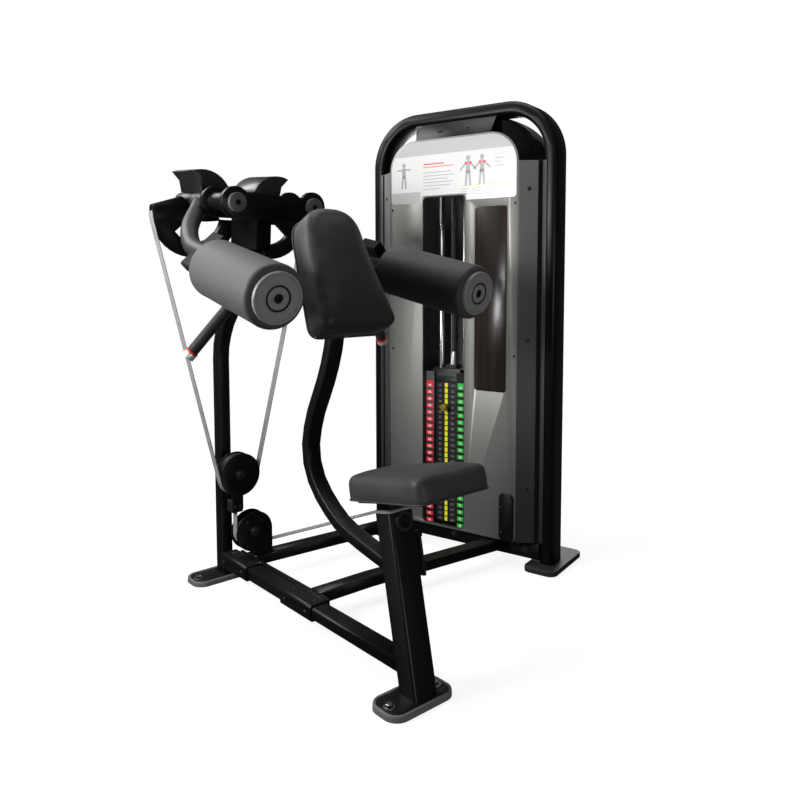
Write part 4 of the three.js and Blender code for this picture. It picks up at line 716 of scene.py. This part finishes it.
def makeArm(hand, side):
    front, back = sided(roller["front"], side), sided(roller["back"], side)
    along = (back - front).normalized()
    length = (back - front).length
    wide, thick, deep = armTube["block"]
    hub = station.inverted() @ head @ Vector((side * armTube["hubSpread"], armTube["hubEnd"] - 27, 0))
    raised = front + along * length + Vector((1, 0, 0)).cross(along).normalized() * armTube["lift"]
    corner = raised + along * armTube["corner"]
    bend = raised + along * armTube["bend"]
    climb = between(hub, corner, armTube["shares"])
    line = smoothLine([hub, *climb, (climb[-1] + corner * 2 + bend) / 4, bend, raised + along * 30], 9)
    tube = swept(line, circle(armTube["radius"]))
    spindle = turned([(12, roller["capStand"] / 2), (12, length + 60)], front, along, 28)
    piece(f"armTube.{hand}", parts(tube, spindle), f"{hand}_arm", "graphiteCoat",
          replaces=(f"arm_{hand}",), angle=50)
    x = side * armTube["hubSpread"]
    bore, skin, near, far = armTube["sleeve"]
    rim = [(bore, near), (skin - 1.5, near), (skin, near + 1.5), (skin, far - 1.5), (skin - 1.5, far),
           (bore, far)]
    sleeve = turned(rim, (x, 0, 0), (0, 1, 0), 48, True)
    piece(f"armHub.{hand}", sleeve, f"{hand}_arm", "graphiteCoat", head)
    outward = Vector((1, 0, 0)) - along * along.x
    outward.normalize()
    up = along.cross(outward)
    aim = Matrix((outward, up, along)).transposed().to_4x4()
    aim.translation = raised + along * armTube["blockPlace"]
    aim = aim @ Matrix.Rotation(math.radians(side * armTube["roll"]), 4, "Z")
    outline = roundOutline(-wide / 2, -thick / 2, wide / 2, thick / 2, 6)
    clamp = moved(slab(outline, 0, deep), aim)
    piece(f"armClamp.{hand}", clamp, f"{hand}_arm", "clampBlack", edge=1.5)


def makeGrip(hand, side):
    top, end = sided(grip["top"], side), sided(grip["end"], side)
    front, back = sided(roller["front"], side), sided(roller["back"], side)
    axis = (back - front).normalized()
    along = (end - top).normalized()
    radius, cap, ring = grip["radius"], grip["cap"], grip["ring"]
    target = back + axis * grip["stem"]
    bends = between(top, target, grip["shares"])
    line = smoothLine([end - along * (cap + ring), top, *bends], 10)
    piece(f"gripStem.{hand}", swept(line, circle(radius - 1.2)), f"{hand}_arm", "graphiteCoat",
          replaces=(f"handle_{hand}",), angle=50)
    length = (end - top).length
    profile = [(radius - 1.4, -4), (radius - 0.2, -3), (radius + 0.2, 0)]
    pitch = (length - cap - ring - 8) / grip["ribs"]
    for k in range(grip["ribs"]):
        start = 4 + pitch * k
        profile += [(radius + 0.3, start), (radius + 0.3, start + pitch * 0.55),
                    (radius - 0.35, start + pitch * 0.72), (radius - 0.35, start + pitch * 0.86)]
    profile += [(radius + 0.3, length - cap - ring - 2), (radius - 1, length - cap - ring)]
    piece(f"gripSleeve.{hand}", turned(profile, top, along, 40), f"{hand}_arm", "gripRubber", angle=30)
    rings = [(radius - 1, -cap - ring), (radius + 2.1, -cap - ring), (radius + 2.3, -cap - ring + 1.2),
             (radius + 2.3, -cap - 1), (radius + 1.6, -cap), (radius - 1, -cap)]
    piece(f"gripRing.{hand}", turned(rings, end, along, 44, True), f"{hand}_arm", "ringRed", angle=30)
    rings = [(radius - 1, -cap), (radius + 1.1, -cap), (radius + 1.4, -cap + 1), (radius + 1.4, -3.4),
             (radius + 0.6, -1.2), (radius - 1.6, -0.2), (radius - 4, 0), (6, 0), (5.4, -1), (0.01, -1.2)]
    piece(f"gripCap.{hand}", turned(rings, end, along, 44), f"{hand}_arm", "capChrome", angle=30)


hubCap = {"radius": 28, "length": 13, "socket": 7, "end": 369}


def makeShaft(hand, side):
    x = side * armTube["hubSpread"]
    r, end = hubCap["radius"], hubCap["length"]
    cap = turned([(hubCap["socket"], 0), (r - 1.4, 0), (r - 0.4, 0.4), (r, 1.4), (r, end - 1), (r - 1, end),
                  (hubCap["socket"], end)], (x, 0, 0), (0, 1, 0), 66, True)
    shaft = turned([(14.9, 4), (14.9, hubCap["end"] - 1.2), (13.8, hubCap["end"])], (x, 0, 0), (0, 1, 0), 48)
    piece(f"hubCap.{hand}", parts(cap, shaft), f"{hand}_arm", "hubSteel", head,
          (f"pivot_shaft_{hand}",), angle=30)
    plug = turned([(hubCap["socket"] + 2.2, -0.25), (hubCap["socket"] + 2.2, 5)], (x, 0, 0), (0, 1, 0), 6)
    piece(f"hubSocket.{hand}", plug, f"{hand}_arm", "grooveBlack", head)


for hand, side in hands.items():
    makeRoller(hand, side)
    makeArm(hand, side)
    makeGrip(hand, side)
    makeShaft(hand, side)
print("roller arms made")


# Wheels: grooved rims and a hub face, in two cheeks
beltPlane = 908.13
floatAxle, baseAxle = Vector((0, beltPlane, 381)), Vector((33, beltPlane, 178))
lowAxle = station.inverted() @ tower @ Vector((-232, 60, 178))
topAxles = {"left": Vector((-172, 58, 1500)), "right": Vector((-77.3, 58, 1500))}
radii = {"float": 67, "base": 43.5, "top": 45}
belt = {"width": 27, "thick": 3, "gap": 0.8, "twist": 0.02}
lineAlong = (lowAxle - baseAxle).normalized()
lineAcross = Vector((-lineAlong.y, lineAlong.x, 0))
wheels = [
    ("floatingWheel", "floating_wheel", "floating_wheel", floatAxle, station, radii["float"]),
    ("baseWheel", "base_wheel", "base_wheel", baseAxle, station, radii["base"]),
    ("lowWheel", "low_pulley_wheel", "low_wheel", lowAxle, station, radii["base"]),
    ("topWheel.left", "top_pulley_wheel_left", "top_wheel_left", topAxles["left"], tower, radii["top"]),
    ("topWheel.right", "top_pulley_wheel_right", "top_wheel_right", topAxles["right"], tower, radii["top"]),
]
for name, node, body, centre, place, radius in wheels:
    axis = lineAcross if name == "lowWheel" else (0, 1, 0)
    half = 14
    profile = [(8.8, -half), (13, -half), (14, 1 - half), (radius - 9, 1 - half), (radius - 7, 0.2 - half),
               (radius - 1, 0.2 - half), (radius, 1.2 - half), (radius, half - 1.2), (radius - 1, half - 0.2),
               (radius - 7, half - 0.2), (radius - 9, half - 1), (14, half - 1), (13, half), (8.8, half)]
    piece(name, turned(profile, centre, axis, 72, True), body, "blackPlastic", place, (node,), angle=30)

# The floating pulley's cheeks and belt clamp
yoke = {"cheek": 71.5, "thick": 3.5, "inner": 17, "z": 381, "left": -32, "right": 8, "top": 296,
        "bottom": 255, "tongue": (262, 351), "bolts": (-22, -2)}
near, far = beltPlane - yoke["inner"] - yoke["thick"], beltPlane + yoke["inner"]
groups = []
for y in (near, far):
    groups.append(disc((0, y, yoke["z"]), (0, 1, 0), yoke["cheek"], yoke["thick"], 96))
    tongue = roundOutline(yoke["left"], yoke["tongue"][0], yoke["right"], yoke["tongue"][1], 5)
    groups.append(slab(tongue, y + 0.1, y + yoke["thick"] - 0.1, "y"))
groups.append(turned([(8, near - 5), (8, far + yoke["thick"])], (0, 0, yoke["z"]), (0, 1, 0), 40))
piece("floatCheeks", parts(*groups), "floating_pulley", "blackCoat", station, ("floating_yoke",), 0.8)
outline = roundOutline(yoke["left"], yoke["bottom"], yoke["right"], yoke["top"], 6)
clamp = slab(outline, near + 3.4, far + 0.1, "y")
piece("beltClamp", clamp, "floating_pulley", "blackPlastic", station, edge=1.5)
bolts = [hexBolt((0, near - 0.2, yoke["z"]), (0, -1, 0), 12, 5.5, 17)]
bolts += [hexBolt((x, near + 3.3, 275), (0, -1, 0), 6.5, 4.5, 9) for x in yoke["bolts"]]
piece("floatBolts", parts(*bolts), "floating_pulley", "blackBolt", station)

# The base wheel's guard
guard = {"x": 49, "z": 178, "radius": 68, "left": 52.2, "foot": 91.3, "ring": 42, "screws": (0.9, 2.2)}
groups = []
for y in (near, far):
    groups.append(disc((guard["x"], y, guard["z"]), (0, 1, 0), guard["radius"], yoke["thick"], 96))
    groups.append(block(guard["left"], guard["x"] + guard["radius"], y + 0.1, y + yoke["thick"] - 0.1,
                        guard["foot"], guard["z"]))
groups.append(block(guard["left"], guard["x"] + guard["radius"], near + 2, far + 2, guard["foot"], 118.5))
groups.append(turned([(8, near), (8, far + yoke["thick"])], (baseAxle.x, 0, baseAxle.z), (0, 1, 0), 40))
piece("baseGuard", parts(*groups), "frame", "blackCoat", station, ("base_pulley_guard",), 0.8)
bolts = [hexBolt((guard["x"], near - 0.1, guard["z"]), (0, -1, 0), 12, 5.4, 17)]
for angle in guard["screws"]:
    x, z = guard["x"] + guard["ring"] * math.cos(angle), guard["z"] + guard["ring"] * math.sin(angle)
    bolts.append(hexBolt((x, near + 0.1, z), (0, -1, 0), 5, 3))
piece("guardBolts", parts(*bolts), "frame", "blackBolt", station)
print("pulleys made")


# Belts: flat bands with rounded edges
def strap(frames):
    half, thick = belt["width"] / 2, belt["thick"] / 2
    section = [(-half, -thick * 0.6), (-half + 1, -thick), (half - 1, -thick), (half, -thick * 0.6),
               (half, thick * 0.6), (half - 1, thick), (-half + 1, thick), (-half, thick * 0.6)]
    return lofted([[Vector(at) + Vector(across) * a + Vector(out) * b for a, b in section]
                   for at, across, out in frames])


def wrapped(centre, ahead, across, radius, start, end, steps=18):
    made = []
    for k in range(steps + 1):
        angle = math.radians(start + (end - start) * k / steps)
        out = Vector(ahead) * math.cos(angle) + Vector((0, 0, 1)) * math.sin(angle)
        made.append((Vector(centre) + out * radius, Vector(across), out))
    return made


# More frames between the given ones: laid flat, or turned about the upright where the band twists
def filled(frames, step=40):
    made = [frames[0]]
    for (a, ua, na), (b, ub, nb) in zip(frames, frames[1:]):
        count = max(1, int((b - a).length / step))
        turn = ua.angle(ub)
        spin = 1 if ua.cross(ub).z >= 0 else -1
        for share in [k / count for k in range(1, count + 1)]:
            if turn > belt["twist"]:
                rotation = Matrix.Rotation(spin * turn * share, 3, "Z")
                made.append((a.lerp(b, share), rotation @ ua, rotation @ na))
            else:
                made.append((a.lerp(b, share), ua.lerp(ub, share), na.lerp(nb, share).normalized()))
    return made


cam = {"middle": (134, 275, -37), "radius": 140}
clear = belt["thick"] / 2 + belt["gap"]
camMiddle = station.inverted() @ head @ Vector(cam["middle"])
outer, under = cam["radius"] + clear, radii["float"] + clear
away = Vector((-camMiddle.x, floatAxle.z - camMiddle.z))
lean = math.atan2(away.y, away.x) + math.acos((outer - under) / away.length)
frames = []
for k in range(3):
    angle = lean * k / 2
    out = Vector((math.cos(angle), 0, math.sin(angle)))
    frames.append((Vector((camMiddle.x, beltPlane, camMiddle.z)) + out * outer, Vector((0, 1, 0)), out))
turnBack = math.degrees(lean)
frames += wrapped(floatAxle, (1, 0, 0), (0, 1, 0), under, turnBack, -180 - turnBack, 30)
for at, across, out in frames[2::-1]:
    frames.append((Vector((-at.x, at.y, at.z)), across, Vector((-out.x, 0, out.z))))
armBelt = piece("armBelt", strap(filled(frames)), "frame", "beltGrey", replaces=("arm_belt",), rides=False)
high = station @ Vector((0, beltPlane, 1400))
low = station @ Vector((0, beltPlane, 311))
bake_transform(armBelt)

wrap, topWrap = radii["base"] + clear, radii["top"] + clear
fromTower = station.inverted() @ tower
localAlong = fromTower.to_3x3() @ Vector((1, 0, 0))
localBack = fromTower.to_3x3() @ Vector((0, -1, 0))
rise = [(Vector((-12.3, beltPlane, 254.7)), lineAcross, Vector((-1, 0, 0))),
        (baseAxle - lineAlong * wrap, lineAcross, -lineAlong)]
run = wrapped(baseAxle, lineAlong, lineAcross, wrap, -180, -90)
run += wrapped(lowAxle, lineAlong, lineAcross, wrap, -90, 0)
run += wrapped(fromTower @ topAxles["left"], localAlong, localBack, topWrap, 180, 90)
run += wrapped(fromTower @ topAxles["right"], localAlong, localBack, topWrap, 90, 0)
drop = [run[-1], (fromTower @ Vector((-30, 58, 755)), localBack, localAlong)]
made = piece("beltRise", strap(filled(rise, 6)), "frame", "beltGrey", rides=False)
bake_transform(made)
piece("beltRun", strap(filled(run)), "frame", "beltGrey", replaces=("weight_belt",))
made = piece("beltDrop", strap(filled(drop)), "stack", "beltGrey", rides=False)
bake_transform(made)
print("belts made")


# Feet: rubber boots with a rolled rim, and the tower's pads
boots = {"front": (-18, 9), "rear": (-22, 1017)}
boot = {"halfLength": 104, "halfWidth": 55, "corner": 40, "rim": [
    (0, 0), (-1.2, 1.2), (0, 3), (0.4, 12), (1.2, 15.5), (3.0, 17), (6.2, 17), (8.4, 15.6), (9, 14), (9, 6)]}
for name, (x, y) in boots.items():
    rows = []
    for inset, z in boot["rim"]:
        drawn = max(0, inset)
        across, along = boot["halfLength"] - drawn, boot["halfWidth"] - drawn
        outline = roundOutline(x - across, y - along, x + across, y + along, boot["corner"] - drawn, steps=14)
        rows.append([(a, b, z) for a, b in outline])
    piece(f"boot.{name}", lofted(rows), "frame", "bootRubber", replaces=(f"{name}_foot_boot",), angle=45)
towerPad = {"inner": 296, "outer": 418, "front": -15, "back": 249, "height": 19, "corner": 30}
for hand, side in hands.items():
    x0, x1 = sorted((side * towerPad["inner"], side * towerPad["outer"]))
    outline = roundOutline(x0, towerPad["front"], x1, towerPad["back"], towerPad["corner"])
    piece(f"towerPad.{hand}", slab(outline, 0, towerPad["height"]), "frame", "bootDark", tower,
          (f"tower_foot_{hand}",), 3)
print("feet made")


# Small fittings of the station: the seat post's collar and lock ring, sleeve screws and foot bolts
collar = {"inner": (33.6, 26.6, 5), "outer": (39.4, 32.4, 9), "low": 461, "rim": 466, "high": 469}
rows = []
for size, z in (("inner", "low"), ("outer", "low"), ("outer", "rim"), ("inner", "high")):
    x, y, corner = collar[size]
    rows.append([(a, b, collar[z]) for a, b in roundOutline(-x, -y, x, y, corner)])
piece("postCollar", lofted(rows, True), "frame", "collarGrey", post, edge=0.8)
lockRing = [(25.7, -31.1), (25.7, -38), (24.4, -39.3), (18, -39.3), (17, -38.2), (13.6, -38.2), (13.6, -31.1)]
lockHeight = 436
piece("lockRing", turned(lockRing, (0, 0, lockHeight), (0, 1, 0), 56, True), "frame", "blackPlastic", post)
sleeves = {"starts": (435, 811), "lengths": (162, 167), "inset": 25, "side": -34.2, "sideHeight": 72,
           "top": 97.0}
screws = []
for start, length in zip(sleeves["starts"], sleeves["lengths"]):
    for y in (start + sleeves["inset"], start + length - sleeves["inset"]):
        screws.append(buttonHead((sleeves["side"], y, sleeves["sideHeight"]), (-1, 0, 0), 6, 3.2))
        screws.append(buttonHead((0, y, sleeves["top"]), (0, 0, 1), 5, 2.6))
piece("sleeveScrews", parts(*screws), "frame", "blackBolt")
footBolt = {"reach": 76, "plate": 14.4, "washer": 15, "head": 9.4}
bolts = []
for x, y in boots.values():
    for a in (-footBolt["reach"], footBolt["reach"]):
        bolts.append(hexBolt((x + a, y, footBolt["plate"] + 7), (0, 0, 1), footBolt["head"], 2.6))
        bolts.append(disc((x + a, y, footBolt["plate"]), (0, 0, 1), footBolt["washer"], 2, 40, 0.5))
piece("footWashers", parts(*bolts), "frame", "boltSteel")
print("fittings made")


# The tower's front: placard, label strips, stack numbers, screws and rails
def printSlabs(name, boxes, depth, face, finish, body="frame"):
    groups = [block(x0, x1, face - depth, face, z0, z1) for x0, x1, z0, z1 in boxes]
    piece(name, parts(*groups), body, finish, tower)


placard = {"half": 262, "low": 1311, "high": 1534, "corner": 104, "notch": (-125, 64, 1335), "header": 1484,
           "panel": (-260, -131, 1313, 1352), "titles": [(-118, -30, 1448, 1452), (-118, 12, 1438, 1440.5)],
           "people": ((-205, 92, -0.02), (72, 104, -0.22), (128, 104, -0.2)), "marks": (63, 81, 119, 137)}
face = -15.05
half, low, high, corner, header = [placard[key] for key in ("half", "low", "high", "corner", "header")]
top = roundOutline(-half, low, half, high, 12, corner, 16)
left, right, notchTop = placard["notch"]
points = top + [(left, low), (left, notchTop), (right, notchTop), (right, low)]
piece("placard", slab(points, face - 0.9, face, "y"), "frame", "placardWhite", tower, edge=0.25)
arcs = [(x, z) for x, z in top if z > header]
band = sorted([spot for spot in arcs if spot[0] > 0], key=lambda s: s[1])
band += sorted([spot for spot in arcs if spot[0] < 0], key=lambda s: -s[1])
reach = half - corner + math.sqrt(corner ** 2 - (header - high + corner) ** 2)
band = [(reach, header)] + band + [(-reach, header)]
piece("placardHeader", slab(band, face - 1.2, face - 0.85, "y"), "frame", "placardGrey", tower)
printSlabs("placardCorner", [placard["panel"]], 0.3, face - 0.9, "placardPale")


# Plain pictograms: a head, a body, arms and legs as rounded bars
def bar(x0, z0, x1, z1, width, level):
    a, b = Vector((x0, z0)), Vector((x1, z1))
    angle = math.atan2(b.y - a.y, b.x - a.x)
    spots = []
    for centre, start in ((b, angle - math.pi / 2), (a, angle + math.pi / 2)):
        for turn in [start + math.pi * k / 8 for k in range(9)]:
            spots.append((centre.x + width * math.cos(turn), centre.y + width * math.sin(turn)))
    return slab(spots, level - 0.25, level, "y")


# Shares of a figure's height, from its hip
person = {"head": (0.45, 0.085), "shoulder": 0.28, "trunk": 0.085, "hip": 0.05, "foot": (0.09, -0.46, 0.04),
          "hand": (0.3, 0.03)}


def figure(x, z, size, armLift, level):
    shoulder, hand = z + person["shoulder"] * size, z + (person["shoulder"] + armLift) * size
    rise, radius = person["head"][0] * size, person["head"][1] * size
    footX, footZ, leg = [share * size for share in person["foot"]]
    handX, arm = [share * size for share in person["hand"]]
    made = [turned([(radius, level - 0.25), (radius, level)], (x, 0, z + rise), (0, 1, 0), 20)]
    made.append(bar(x, z, x, shoulder, person["trunk"] * size, level))
    for side in (-1, 1):
        made.append(bar(x + side * person["hip"] * size, z, x + side * footX, z + footZ, leg, level))
        made.append(bar(x + side * footX, shoulder, x + side * handX, hand, arm, level))
    return made


level = face - 0.9
figures = []
for x, size, armLift in placard["people"]:
    figures += figure(x, 1412, size, armLift, level)
piece("pictograms", parts(*figures), "frame", "inkPale", tower)
marks = [bar(x, 1441, x + 1, 1441, 5, level - 0.2) for x in placard["marks"]]
piece("placardRed", parts(*marks), "frame", "inkRed", tower)
printSlabs("placardRedLines", placard["titles"], 0.25, level, "inkRed")
# Rows of printed text: left, foot of the first row, step down, thickness, and each row's width
textRows = [(-118, 1418, 12, 2.5, (120, 132, 104, 126, 118, 70)), (178, 1448, 13, 2, (40, 26, 34))]
columns = [40 + 52 * k for k in range(4)]
textRows[1:1] = [(x, 1349, 9, 1.6, (38, 30, 34)) for x in columns]
lines = []
for x, z, step, thick, widths in textRows:
    lines += [(x, x + width, z - step * k, z - step * k + thick) for k, width in enumerate(widths)]
printSlabs("placardLines", lines, 0.2, level, "inkPale")
printSlabs("placardYellow", [(x, x + 42, 1361, 1363.5) for x in columns], 0.2, level, "inkYellow")
print("placard made")

labels = {"pitch": 26, "low": 101, "count": 21, "tall": 15, "topRise": 9, "margin": 9, "face": (3.5, 11.5)}
strips = {"left": (-113, -83), "right": (24, 49)}
inks = {"left": "inkRed", "right": "inkGreen"}
for hand, (x0, x1) in strips.items():
    outerBars, innerBars = [], []
    for k in range(labels["count"]):
        z = labels["low"] + labels["pitch"] * k
        tall = labels["tall"] + (labels["topRise"] if k == labels["count"] - 1 else 0)
        outerBars.append((x0, x1, z, z + tall))
        low, high = labels["face"]
        innerBars.append((x0 + labels["margin"], x1 - labels["margin"], z + low, z + high))
    printSlabs(f"labels.{hand}", outerBars, 0.4, -0.02, inks[hand])
    printSlabs(f"labelFaces.{hand}", innerBars, 0.25, -0.42, "inkWhite")

stack = {"low": 112, "pitch": 20.4, "all": 26, "pinned": 21, "tick": (-36, -24, 1.6, 2.4),
         "groups": (("resting", "frame", 0, 21), ("lifted", "stack", 21, 26))}
for name, body, first, last in stack["groups"]:
    x0, x1, under, over = stack["tick"]
    levels = [stack["low"] + stack["pitch"] * k for k in range(first, last) if k != stack["pinned"]]
    ticks = [(x0, x1, z + under, z + stack["pitch"] - over) for z in levels]
    printSlabs(f"ticks.{name}", ticks, 0.35, 7.98, "inkYellow", body)


def numbers(name, entries, size, level, finish, body):
    groups = []
    for text, x, z in entries:
        letter = bpy.data.curves.new("digits", "FONT")
        letter.body = text
        letter.size = size
        letter.align_x = "CENTER"
        letter.extrude = 0.12
        letter.resolution_u = 3
        holder = bpy.data.objects.new("digits", letter)
        mesh = bpy.data.meshes.new_from_object(holder)
        groups.append(([(v.co.x + x, level - v.co.z, v.co.y + z) for v in mesh.vertices],
                       [tuple(p.vertices) for p in mesh.polygons]))
        bpy.data.objects.remove(holder)
        bpy.data.curves.remove(letter)
        bpy.data.meshes.remove(mesh)
    piece(name, parts(*groups), body, finish, tower)


for name, body, first, last in stack["groups"]:
    entries = []
    for k in range(first, last):
        z = stack["low"] + stack["pitch"] * k + 4.5
        amount = (stack["all"] - k) * 5
        entries += [(str(amount), -57, z), (str(round(amount * 2.2)), -3, z)]
    numbers(f"stackNumbers.{name}", entries, 12.5, 7.85, "inkGrey", body)
entries = {"left": [], "right": []}
for k in range(labels["count"]):
    z = labels["low"] + labels["pitch"] * k + 4
    entries["left"].append((str((labels["count"] - k) * 5), -98, z))
    entries["right"].append((str((labels["count"] - k) * 10), 36.5, z))
for hand, ink in (("left", "inkRed"), ("right", "inkGreen")):
    numbers(f"labelNumbers.{hand}", entries[hand], 9.5, -0.66, ink, "frame")
print("labels and numbers made")

# Screws on the covers and the panel, beam bolts and bracket bolts
fixings = {"cover": (300, 5.0, (1337, 816, 292)), "foot": ((215, 217), (216, 126), (254, 240)),
           "side": (309, 11.4, 271), "panel": (258, (1290, 760, 118)), "beam": (34.8, 62, (-8, 285)),
           "bracket": (11.6, 1572, (-62, 52))}
slope = Vector((47, -66, 0)).normalized()
x, y, heights = fixings["cover"]
screws = []
for side in hands.values():
    screws += [buttonHead((side * x, y, z), (side * slope.x, slope.y, 0), 7, 3.4) for z in heights]
piece("coverScrews", parts(*screws), "frame", "blackBolt", tower)
screws = [buttonHead((x, -20.0, z), (0, -1, 0), 4.6, 2.6) for x, z in fixings["foot"]]
screws.append(buttonHead(fixings["side"], (slope.x, slope.y, 0), 4.6, 2.6))
x, heights = fixings["panel"]
screws += [buttonHead((side * x, -15.0, z), (0, -1, 0), 4.6, 2.4) for side in (-1, 1) for z in heights]
piece("panelScrews", parts(*screws), "frame", "blackBolt", tower)
y, z, places = fixings["beam"]
bolts = [hexBolt((x, y, z), (0, -1, 0), 9, 6, 13) for x in places]
piece("beamBolts", parts(*bolts), "frame", "blackBolt", tower)
lean = Vector((0, -65, 47)).normalized()
y, z, places = fixings["bracket"]
bolts = [hexBolt(Vector((x, y, z)) + lean * 0.2, lean, 8, 5, 12) for x in places]
piece("bracketBolts", parts(*bolts), "frame", "blackBolt", tower)

# Thin dark strips between the side covers and the hoop
darkStrip = {"low": 97, "high": 1432, "near": (327, 18.3), "far": (338.4, 34.4), "thick": (1.0, -0.75)}
darkStrips = []
for side in (-1, 1):
    spots = []
    for z in (darkStrip["low"], darkStrip["high"]):
        for x, y in (darkStrip["near"], darkStrip["far"]):
            spots.append((side * x, y, z))
            spots.append((side * (x + darkStrip["thick"][0]), y + darkStrip["thick"][1], z))
    sides = [(0, 1, 3, 2), (4, 6, 7, 5), (0, 2, 6, 4), (1, 5, 7, 3), (0, 4, 5, 1), (2, 3, 7, 6)]
    darkStrips.append((spots, sides))
piece("coverDarkStrips", parts(*darkStrips), "frame", "grooveBlack", tower)

# Dark trim round the window, and the clamp over the lifted plates
window = {"left": -121, "low": 104, "right": 60, "high": 1331, "corner": 16, "trim": 2.4, "front": -15.4,
          "back": -11.7}
rows = []
for inset, y in ((0, "front"), (window["trim"], "front"), (window["trim"], "back"), (0, "back")):
    outline = roundOutline(window["left"] + inset, window["low"] + inset, window["right"] - inset,
                           window["high"] - inset, window["corner"] - (2 if inset else 0))
    rows.append([(x, window[y], z) for x, z in outline])
piece("windowTrim", lofted(rows, True), "frame", "blackPlastic", tower)
topClamp = {"block": (-52, -8, 40, 76, 694, 706), "bolts": [(-46, 20, 694), (-14, 20, 694)]}
clamp = [block(*topClamp["block"])] + [hexBolt(spot, (0, 0, 1), 7, 5, 10) for spot in topClamp["bolts"]]
piece("stackClamp", parts(*clamp), "stack", "blackBolt", tower, edge=0.6)
print("tower details made")


# Floor, light and camera
def stagePlane(name, size, colour):
    mesh = bpy.data.meshes.new(name)
    corners = [(-size, -size, 0), (size, -size, 0), (size, size, 0), (-size, size, 0)]
    mesh.from_pydata(corners, [], [(0, 1, 2, 3)])
    made = linked(name, mesh)
    # Glows towards its far edge, so that it runs into the white backdrop with no horizon
    finish = Finish(name + "Paint", Roughness=0.9, Specular_IOR_Level=0.0, Emission_Strength=1.0)
    mottle = finish.noise(0.7, 2)
    distance = finish.node("ShaderNodeVectorMath", {"operation": "LENGTH"}, {0: finish.spot}, 1)
    far = finish.spread(distance, 0.9, 3.2)
    mesh.materials.append(finish.feed(
        Base_Color=finish.mix(far, tone(colour, 1), finish.mix(mottle, (0.02, 0.02, 0.02, 1), (0, 0, 0, 1))),
        Emission_Color=finish.mix(far, (0.86, 0.86, 0.86, 1), (1, 1, 1, 1))))
    made.location = (0, 0, -0.0005)
    made.visible_diffuse = False
    made.visible_glossy = False


stagePlane("floor", 40, (0.24, 0.24, 0.24))

# A small card, as a studio would use, keeps the key light off the right roller
card = {"x": -0.13, "y": (-0.45, 0.0), "z": (0.88, 1.12)}
mesh = bpy.data.meshes.new("shadeCard")
low, high = card["z"]
corners = [(card["x"], y, z) for y, z in zip(card["y"] + card["y"][::-1], (low, low, high, high))]
mesh.from_pydata(corners, [], [(0, 1, 2, 3)])
mesh.materials.append(finishes["grooveBlack"])
made = linked("shadeCard", mesh)
for kind in ("camera", "diffuse", "glossy", "transmission", "volume_scatter"):
    setattr(made, "visible_" + kind, False)


def softBox(name, spot, aim, size, power, colour=(1, 1, 1)):
    light = bpy.data.lights.new(name, "AREA")
    light.shape = "RECTANGLE"
    light.size, light.size_y = size
    light.energy = power
    light.color = colour
    made = linked(name, light)
    made.location = spot
    made.rotation_euler = (Vector(aim) - Vector(spot)).to_track_quat("-Z", "Y").to_euler()
    made.visible_camera = False


lights = {
    "overhead": ((0.0, 0.1, 3.0), (0.1, 0, 0), (1.4, 1.4), 21),
    "leftKey": ((-1.9, 0.3, 1.34), (-0.5, -0.1, 1.02), (0.6, 0.6), 36),
    "backLeft": ((-1.2, 2.0, 2.8), (-0.3, 0.3, 1.2), (1.6, 1.2), 50),
    "frontFill": ((-0.7, -3.0, 0.6), (0, 0, 0.6), (1.6, 0.9), 17),
    "backRight": ((2.7, 1.6, 1.5), (0.4, 0.1, 0.8), (1.6, 1.6), 62),
}
for name, (spot, aim, size, power) in lights.items():
    softBox(name, spot, aim, size, power)

world = bpy.data.worlds.new("studio")
bpy.context.scene.world = world
world.use_nodes = True
sky = world.node_tree
dome = sky.nodes["Background"]
dome.inputs["Color"].default_value = (1, 1, 1, 1)
path = sky.nodes.new("ShaderNodeLightPath")
level = sky.nodes.new("ShaderNodeMapRange")
level.inputs["To Min"].default_value = 0.05
level.inputs["To Max"].default_value = 1.0
sky.links.new(path.outputs["Is Camera Ray"], level.inputs["Value"])
sky.links.new(level.outputs["Result"], dome.inputs["Strength"])
bpy.context.scene.view_settings.view_transform = "Standard"

view = {"spot": (-1.53076, -1.79042, 1.042), "turn": -40.74, "down": 4.21, "roll": -0.09, "lens": 33.46,
        "shift": -0.0874}
camera = bpy.data.cameras.new("camera")
camera.sensor_width = 36
camera.lens = view["lens"]
camera.shift_y = view["shift"]
camera.clip_start = 0.05
eye = linked("camera", camera)
eye.matrix_world = (Matrix.Translation(view["spot"]) @ Matrix.Rotation(math.radians(view["turn"]), 4, "Z")
                    @ Matrix.Rotation(math.radians(90 - view["down"]), 4, "X")
                    @ Matrix.Rotation(math.radians(view["roll"]), 4, "Z"))
bpy.context.scene.camera = eye

print("scene done")
